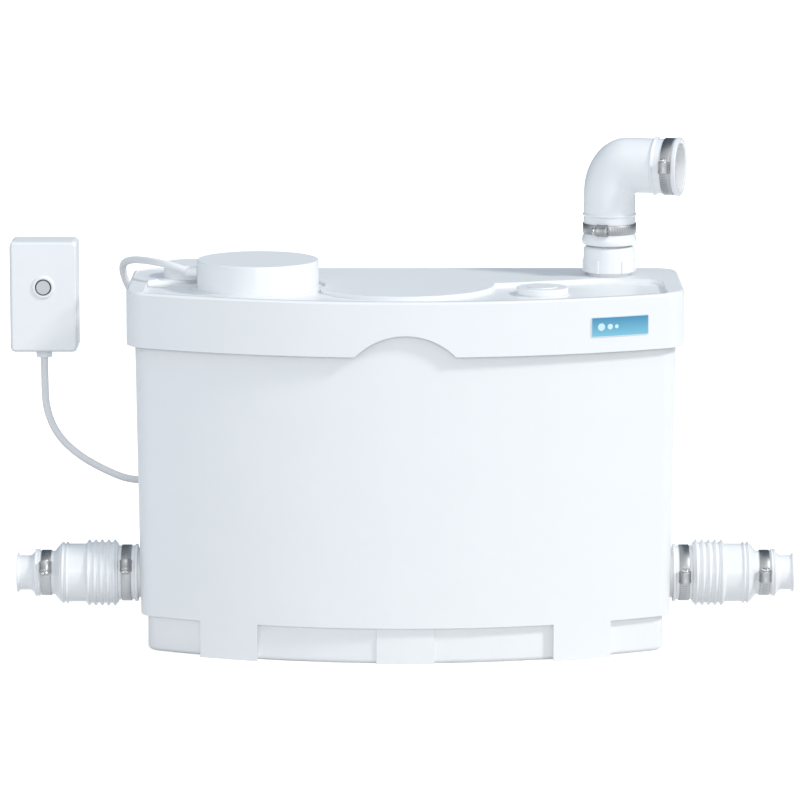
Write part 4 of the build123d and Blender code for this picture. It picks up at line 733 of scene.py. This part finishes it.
# %% Elbow rings
elbow_foot = Vector((178.7, 61.5, 343.3))
arm_along = Vector((0.96269, -0.27060, 0))
arm_side = Vector((0.27060, 0.96269, 0))
axis_rise = 69.6
corner_round = 2.0
tube_size = 22.4
arm_size = 24.0
bend_wide, bend_tall = 38.0, 48.0
pivot = (tube_size + corner_round, axis_rise - arm_size - corner_round)
bend_middle = (bend_wide - tube_size, axis_rise + arm_size - bend_tall)


def outer_reach(angle):
    """Distance from the pivot to the outer curve, at an angle up from the horizontal."""
    back, up = cos(angle), sin(angle)
    if back > 1e-6:
        reach = (pivot[0] + tube_size) / back
        if pivot[1] + reach * up <= bend_middle[1]:
            return reach
    if up > 1e-6:
        reach = (axis_rise + arm_size - pivot[1]) / up
        if pivot[0] - reach * back >= bend_middle[0]:
            return reach
    x, z = pivot[0] - bend_middle[0], pivot[1] - bend_middle[1]
    a = (back / bend_wide) ** 2 + (up / bend_tall) ** 2
    b = 2 * z * up / bend_tall**2 - 2 * x * back / bend_wide**2
    c = (x / bend_wide) ** 2 + (z / bend_tall) ** 2 - 1
    return (-b + sqrt(b * b - 4 * a * c)) / (2 * a)


def elbow_ring(middle, lean, deep, wide, count=96):
    """One ring: its middle (along, up), its lean from upright, and its half sizes."""
    ring = []
    for step in range(count):
        way = 2 * pi * step / count
        inward = deep * cos(way)
        along = middle[0] + inward * cos(lean)
        up = middle[1] - inward * sin(lean)
        ring.append((elbow_foot + arm_along * along + Vector((0, 0, up)) + arm_side * (wide * sin(way))) * MM)
    return ring


def bend_ring(share, thinner=0.0):
    """One ring of the bend, from 0 at the upright tube to 1 at the arm."""
    angle = pi / 2 * share
    half = (outer_reach(angle) - corner_round) / 2
    out = corner_round + half
    wide = tube_size + (arm_size - tube_size) * share
    return elbow_ring((pivot[0] - out * cos(angle), pivot[1] + out * sin(angle)), angle,
                      half - thinner, wide - thinner)


tube_stations = [(0, 22.7), (0.35, 23.5), (1.2, 23.9), (4.6, 23.9), (6.4, 23.5), (8.2, 22.7), (9.4, 22.4),
                 (19.5, 22.4), (24.6, 22.4), (25.2, 23.1), (25.8, 23.5), (26.4, 23.5), (27.0, 23.1),
                 (27.6, 22.4), (32, 22.4), (38, 22.4)]
arm_stations = [(30, 24.0), (39.6, 24.0), (40.3, 24.9), (41.0, 25.6), (41.9, 25.6), (42.6, 24.9),
                (43.3, 24.0), (48.5, 24.0), (58.6, 24.0), (59.4, 24.9), (60.0, 25.5), (60.4, 25.6),
                (62.8, 25.6), (63.4, 25.0), (63.4, 21.4), (62.9, 20.7), (62.0, 20.5)]
rings = [elbow_ring((0, 0), 0, 16.55, 16.55)]
rings += [elbow_ring((0, height), 0, size, size) for height, size in tube_stations]
rings += [bend_ring(step / 24) for step in range(25)]
rings += [elbow_ring((along, axis_rise), pi / 2, size, size) for along, size in arm_stations]
rings.append(elbow_ring((28, axis_rise), pi / 2, 20.5, 20.5))
rings += [bend_ring(1 - step / 12, 3.5) for step in range(13)]
rings += [elbow_ring((0, 30), 0, 17.4, 17.4), elbow_ring((0, 27), 0, 16.55, 16.55)]
print("elbow rings:", len(rings))


# %% Elbow mesh
def ring_mesh(name, rings, crease=40):
    """Join rings one to the next, and the last to the first, into a closed shell."""
    mesh = bpy.data.meshes.new(name)
    count = len(rings[0])
    faces = []
    for i in range(len(rings)):
        first, second = i * count, (i + 1) % len(rings) * count
        for j in range(count):
            k = (j + 1) % count
            faces.append((first + j, first + k, second + k, second + j))
    mesh.from_pydata([point for ring in rings for point in ring], [], faces)
    return outward(mesh, crease)


elbow = link_piece("rubber_elbow_moulding", ring_mesh("rubber_elbow", rings), "elbow", "white_rubber",
                   "rubber_elbow")
print("elbow", len(elbow.data.polygons), "faces")

# %% [markdown]
# Two small trees set copies of a shape. One puts them round an axis, as the grip lugs of a nut are.
# The other puts one at each point of a mesh and turns it by two directions stored on that point, as
# each clamp's housing and worm screw need, because every clamp faces another way.

# %% Trees that set copies
ring_tree, given = new_tree("round_the_axis", {"Shape": ("Object", None), "Count": ("Int", 6),
                                               "First Angle": ("Float", 0.0), "Finish": ("Material", None)})
shape = given.node("GeometryNodeObjectInfo", {}, {"Object": given.out("Shape"), "As Instance": True},
                   output="Geometry")
spots = given.node("GeometryNodePoints", {}, {"Count": given.out("Count")})
turned_by = (given.node("GeometryNodeInputIndex") * (2 * pi)) / given.out("Count") + given.out("First Angle")
facing = given.node("ShaderNodeCombineXYZ", {}, {"Z": turned_by})
copies = given.node("GeometryNodeInstanceOnPoints", {},
                    {"Points": spots, "Instance": shape, "Rotation": facing})
end_tree(copies, given.out("Finish"))

setting_tree, given = new_tree("at_points", {"Shape": ("Object", None), "Finish": ("Material", None)})
shape = given.node("GeometryNodeObjectInfo", {}, {"Object": given.out("Shape"), "As Instance": True},
                   output="Geometry")
outwards = given.node("GeometryNodeInputNamedAttribute", {"data_type": "FLOAT_VECTOR"}, {"Name": "outwards"})
sideways = given.node("GeometryNodeInputNamedAttribute", {"data_type": "FLOAT_VECTOR"}, {"Name": "sideways"})
facing = given.node("FunctionNodeAxesToRotation", {"primary_axis": "X", "secondary_axis": "Z"},
                    {0: outwards, 1: sideways})
copies = given.node("GeometryNodeInstanceOnPoints", {},
                    {"Points": given.out("Geometry"), "Instance": shape, "Rotation": facing})
end_tree(copies, given.out("Finish"))


def hold(mesh):
    """A helper object that only lends its shape to a tree."""
    helper = bpy.data.objects.new("shape", mesh)
    scene.collection.objects.link(helper)
    return helper


print("setting trees:", len(ring_tree.nodes), len(setting_tree.nodes))

# %% [markdown]
# The coupling nut is a turned cup with a rounded shoulder. Six lugs stand round its lower half to give
# the hand a grip. Each lug is a small block with rounded edges, copied round the axis.

# %% Coupling nut
outlet_x, outlet_y = 178.7, 61.5
nut_z, nut_top = 319.0, 341.5
nut_radius, nut_shoulder = 22.5, 3.2
nut_profile = [(18.58, nut_z), (22.1, nut_z), (nut_radius, nut_z + 0.4), (nut_radius, nut_top - nut_shoulder)]
nut_profile += [(nut_radius - nut_shoulder + nut_shoulder * cos(radians(a)),
                 nut_top - nut_shoulder + nut_shoulder * sin(radians(a))) for a in range(15, 91, 15)]
nut_profile += [(16.9, nut_top), (16.58, nut_top - 0.3), (16.58, 339), (18.58, 339)]
nut_body = turn(nut_profile, "white_plastic", sides=120, crease=35)

lug = bpy.data.meshes.new("lug")
lug_corners = [(x, y, z) for z, reach, half in ((0, 23.4, 1.5), (10.4, 23.4, 1.5), (12.0, 22.6, 1.1))
               for x, y in ((21.6, -half), (reach, -half), (reach, half), (21.6, half))]
lug_faces = [(0, 3, 2, 1), (8, 9, 10, 11)]
lug_faces += [(i + j, i + (j + 1) % 4, i + 4 + (j + 1) % 4, i + 4 + j) for i in (0, 4) for j in range(4)]
lug.from_pydata([tuple(v * MM for v in corner) for corner in lug_corners], [], lug_faces)
work = bmesh.new()
work.from_mesh(lug)
bmesh.ops.bevel(work, geom=work.edges[:], offset=0.5 * MM, segments=3, profile=0.5, affect="EDGES")
bmesh.ops.recalc_face_normals(work, faces=work.faces)
work.to_mesh(lug)
work.free()
lug_shape = hold(lug)
lugs = grow(ring_tree, point_mesh([(0, 0, 0)]), {"Shape": lug_shape, "Count": 6, "First Angle": radians(-60),
                                                 "Finish": finishes["white_plastic"]})
bpy.data.objects.remove(lug_shape)
lugs.transform(Matrix.Translation((0, 0, nut_z * MM)))
nut = joined("coupling_nut", [nut_body, lugs])
nut.polygons.foreach_set("use_smooth", [True] * len(nut.polygons))
nut.set_sharp_from_angle(angle=radians(40))
nut.transform(Matrix.Translation((outlet_x * MM, outlet_y * MM, 0)))
link_piece("coupling_nut_body", nut, "nut", "white_plastic", "coupling_nut")
print("nut", len(nut.polygons), "faces")

# %% [markdown]
# A worm drive clamp has three pieces: the band, a pressed housing that is welded on it, and a slotted
# screw that lies along the band. All six clamps here are alike but for their radius and their place,
# so each is described once by a plane, a radius and the angle of its housing.

# %% Clamp places
arm_origin = (outlet_x, outlet_y, elbow_foot.z + axis_rise)
elbow_clamps = {
    "elbow_lower_clamp": [(stand((outlet_x, outlet_y, 353.1), (1, 0, 0), (0, 0, 1)), 22.5, -107.5)],
    "elbow_outlet_clamp": [(stand(Vector(arm_origin) + arm_along * 49.5, (0, 0, 1), arm_along), 24.1, 86)],
}
sleeve_clamps = {
    name: [(stand((side * (wall_x + reach), 0, inlet_z), (0, 1, 0), (side, 0, 0)), radius, turned)
           for side, turned in ((-1, 205), (1, 178))]
    for name, reach, radius in (("inner_sleeve_clamps", 8.6, 23.7), ("outer_sleeve_clamps", 78.6, 19.1))
}
band_thick, band_wide, housing_long, screw_rise = 0.8, 8.7, 10.5, 4.7
print("clamps:", sum(len(v) for v in (*elbow_clamps.values(), *sleeve_clamps.values())))


# %% Clamp bands
def band(matrix, radius, angle):
    """A band with rounded edges, its UV map in millimetres from the housing."""
    outer = radius + band_thick
    mesh = turn([(radius, 0.15), (radius + 0.15, 0), (outer - 0.2, 0), (outer, 0.2),
                 (outer, band_wide - 0.2), (outer - 0.2, band_wide), (radius + 0.15, band_wide),
                 (radius, band_wide - 0.15)], "clamp_steel", sides=144, crease=50)
    layer = mesh.uv_layers.new(name="band")
    for face in mesh.polygons:
        middle = atan2(face.center.y, face.center.x)
        for corner in face.loop_indices:
            spot = mesh.vertices[mesh.loops[corner].vertex_index].co
            way = atan2(spot.y, spot.x)
            way += 2 * pi * round((middle - way) / (2 * pi))
            layer.data[corner].uv = (way * outer, spot.z / MM - band_wide / 2)
    return placed(mesh, matrix @ Matrix.Rotation(radians(angle), 4, "Z"))


for body, clamps in (("elbow", elbow_clamps), ("unit", sleeve_clamps)):
    for node, places in clamps.items():
        mesh = joined(node, [band(*one) for one in places])
        mesh.polygons.foreach_set("use_smooth", [True] * len(mesh.polygons))
        mesh.set_sharp_from_angle(angle=radians(50))
        link_piece(node + "_band", mesh, body, "clamp_steel", node)
        print(node, len(mesh.polygons), "faces")


# %% Housing shape
def housing_outline(count=48):
    """The housing's section round the screw's middle: a saddle on the band and a round roof."""
    corners = [(-4.75, -5.3), (-3.7, -5.3), (-3.2, -4.1), (-1.0, -3.95)]
    corners += [(3.95 * sin(radians(a)), -3.95 * cos(radians(a))) for a in range(10, 171, 10)]
    corners += [(-1.0, 3.95), (-3.2, 4.1), (-3.7, 5.3), (-4.75, 5.3)]
    section = []
    for step in range(count):
        way = 2 * pi * step / count
        ray = (cos(way), sin(way))
        best = None
        for i in range(len(corners)):
            (ax, az), (bx, bz) = corners[i], corners[(i + 1) % len(corners)]
            run = (bx - ax, bz - az)
            cross = ray[0] * run[1] - ray[1] * run[0]
            if abs(cross) < 1e-9:
                continue
            reach = (ax * run[1] - az * run[0]) / cross
            share = (ax * ray[1] - az * ray[0]) / cross
            if reach > 0 and -1e-6 <= share <= 1 + 1e-6:
                best = reach if best is None else max(best, reach)
        section.append((ray[0] * best, ray[1] * best))
    return section


section = housing_outline()
bore = [(2.85 * cos(2 * pi * i / 48), 2.85 * sin(2 * pi * i / 48)) for i in range(48)]
half = housing_long / 2
housing_rings = []
for y, size, points in ((-half, 0.92, section), (-half + 0.4, 1.0, section), (-half + 2.2, 1.0, section),
                        (-half + 2.7, 0.95, section), (half - 2.7, 0.95, section),
                        (half - 2.2, 1.0, section), (half - 0.4, 1.0, section), (half, 0.92, section),
                        (half, 1.0, bore), (-half, 1.0, bore)):
    housing_rings.append([Vector((x * size, y, z * size)) * MM for x, z in points])
housing = ring_mesh("housing", housing_rings, 50)
print("housing", len(housing.polygons), "faces")

# %% [markdown]
# The worm screw has a thick slotted head and a coarse thread. Its slot is cut from the turned shape by
# a Boolean with a thin block, and the cut result is kept as a plain mesh.

# %% Screw shape
thread = []
for crest in range(9):
    start = -5.0 + crest * 1.1
    thread += [(2.15, start), (2.65, start + 0.35), (2.65, start + 0.55), (2.15, start + 0.9)]
screw_profile = [(0, -7.85), (3.0, -7.85), (3.5, -7.4), (3.6, -7.1), (3.6, -5.8), (3.3, -5.4), (2.4, -5.35)]
screw_profile += thread + [(2.15, 4.9), (1.7, 5.15), (0, 5.15)]
screw = turn(screw_profile, "screw_steel", sides=36, crease=35)
screw.transform(Matrix.Rotation(radians(-90), 4, "X"))
screw_object = hold(screw)
cutter_mesh = bpy.data.meshes.new("slot_cutter")
cutter = bmesh.new()
bmesh.ops.create_cube(cutter, size=1.0)
bmesh.ops.scale(cutter, vec=(8 * MM, 2.4 * MM, 1.1 * MM), verts=cutter.verts)
bmesh.ops.translate(cutter, vec=(0, -7.8 * MM, 0), verts=cutter.verts)
cutter.to_mesh(cutter_mesh)
cutter.free()
cutter_object = hold(cutter_mesh)
cut = screw_object.modifiers.new("slot", "BOOLEAN")
cut.object = cutter_object
cut.solver = "EXACT"
slotted = bpy.data.meshes.new_from_object(screw_object.evaluated_get(bpy.context.evaluated_depsgraph_get()))
bpy.data.objects.remove(screw_object)
bpy.data.objects.remove(cutter_object)
screw_end = min(vertex.co.y for vertex in slotted.vertices) / MM
print("screw reaches", round(screw_end, 2), "mm,", len(slotted.polygons), "faces")


# %% Set the housings and screws
def clamp_points(places):
    """A point at the middle of each clamp's screw, with its outward and sideways directions."""
    points, outs, sides_of = [], [], []
    for matrix, radius, angle in places:
        out = matrix.to_3x3() @ Vector((cos(radians(angle)), sin(radians(angle)), 0))
        side_way = matrix.to_3x3() @ Vector((0, 0, 1))
        points.append(matrix.translation / MM + out * (radius + screw_rise) + side_way * band_wide / 2)
        outs.append(out)
        sides_of.append(side_way)
    mesh = point_mesh(points)
    for name, values in (("outwards", outs), ("sideways", sides_of)):
        layer = mesh.attributes.new(name, "FLOAT_VECTOR", "POINT")
        for item, value in zip(layer.data, values):
            item.vector = value
    return mesh


for shape_mesh, slot, jobs in (
    (housing, "clamp_steel", [("elbow", n, p) for n, p in elbow_clamps.items()]
     + [("unit", n, p) for n, p in sleeve_clamps.items()]),
    (slotted, "screw_steel", [("elbow", "elbow_clamp_screws", sum(elbow_clamps.values(), [])),
                              ("unit", "sleeve_clamp_screws", sum(sleeve_clamps.values(), []))]),
):
    helper = hold(shape_mesh)
    for body, node, places in jobs:
        mesh = grow(setting_tree, clamp_points(places), {"Shape": helper, "Finish": finishes[slot]})
        mesh.polygons.foreach_set("use_smooth", [True] * len(mesh.polygons))
        mesh.set_sharp_from_angle(angle=radians(45))
        ending = "_screws" if slot == "screw_steel" else "_housing"
        link_piece(node.replace("_screws", "") + ending, mesh, body, slot, node)
        print(node, len(places), "copies,", len(mesh.polygons), "faces")
    bpy.data.objects.remove(helper)

# %% [markdown]
# The push button sits in a wide rounded bezel with a narrow dark ring inside. The bezel and the ring
# are turned. Behind it a coiled spring pushes the button back: a wire swept along a helix.

# %% Button and bezel
button_x, button_z = -319.6, 300.9
button_axis = stand((button_x, 0, button_z), (1, 0, 0), (0, 1, 0))
bezel = turn([(7.2, 92), (7.2, 85.1), (7.45, 84.8), (8.0, 84.7), (8.8, 84.75), (9.5, 84.95), (10.0, 85.3),
              (10.2, 85.7), (10.25, 86), (9, 86), (9, 92)], "white_plastic", sides=96, crease=50)
link_piece("button_bezel_ring", placed(bezel, button_axis), "unit", "white_plastic", "button_bezel")
dark_ring = turn([(6.1, 93.1), (6.1, 85.15), (6.3, 85.0), (6.9, 85.0), (7.1, 85.15), (7.1, 93.1)],
                 "dark_plastic", sides=96, crease=50)
link_piece("button_dark_ring", placed(dark_ring, button_axis), "unit", "dark_plastic", "button_ring")
print("bezel and ring:", len(bezel.polygons), len(dark_ring.polygons))

# %% Wound spring
spring_curve = bpy.data.curves.new("spring_line", "CURVE")
spring_curve.dimensions = "3D"
helix = spring_curve.splines.new("NURBS")
turns, per_turn = 5, 12
coil_radius, wire_radius, spring_start, coil_length = 3.6, 0.32, 95.2, 5.0
helix.points.add(turns * per_turn)
for i, control in enumerate(helix.points):
    way = 2 * pi * i / per_turn
    depth = coil_length * i / (turns * per_turn)
    control.co = ((button_x + coil_radius * cos(way)) * MM, (spring_start + depth) * MM,
                  (button_z + coil_radius * sin(way)) * MM, 1)
helix.order_u = 3
helix.use_endpoint_u = True
spring_curve.bevel_depth = wire_radius * MM
spring_curve.bevel_resolution = 3
spring_curve.use_fill_caps = True
spring_line = hold(spring_curve)
spring_mesh = bpy.data.meshes.new_from_object(
    spring_line.evaluated_get(bpy.context.evaluated_depsgraph_get()))
bpy.data.objects.remove(spring_line)
spring_mesh.polygons.foreach_set("use_smooth", [True] * len(spring_mesh.polygons))
spring = link_piece("button_spring_wire", spring_mesh, "unit", "screw_steel", "button_spring")
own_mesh(spring)
print("spring", len(spring_mesh.polygons), "faces")
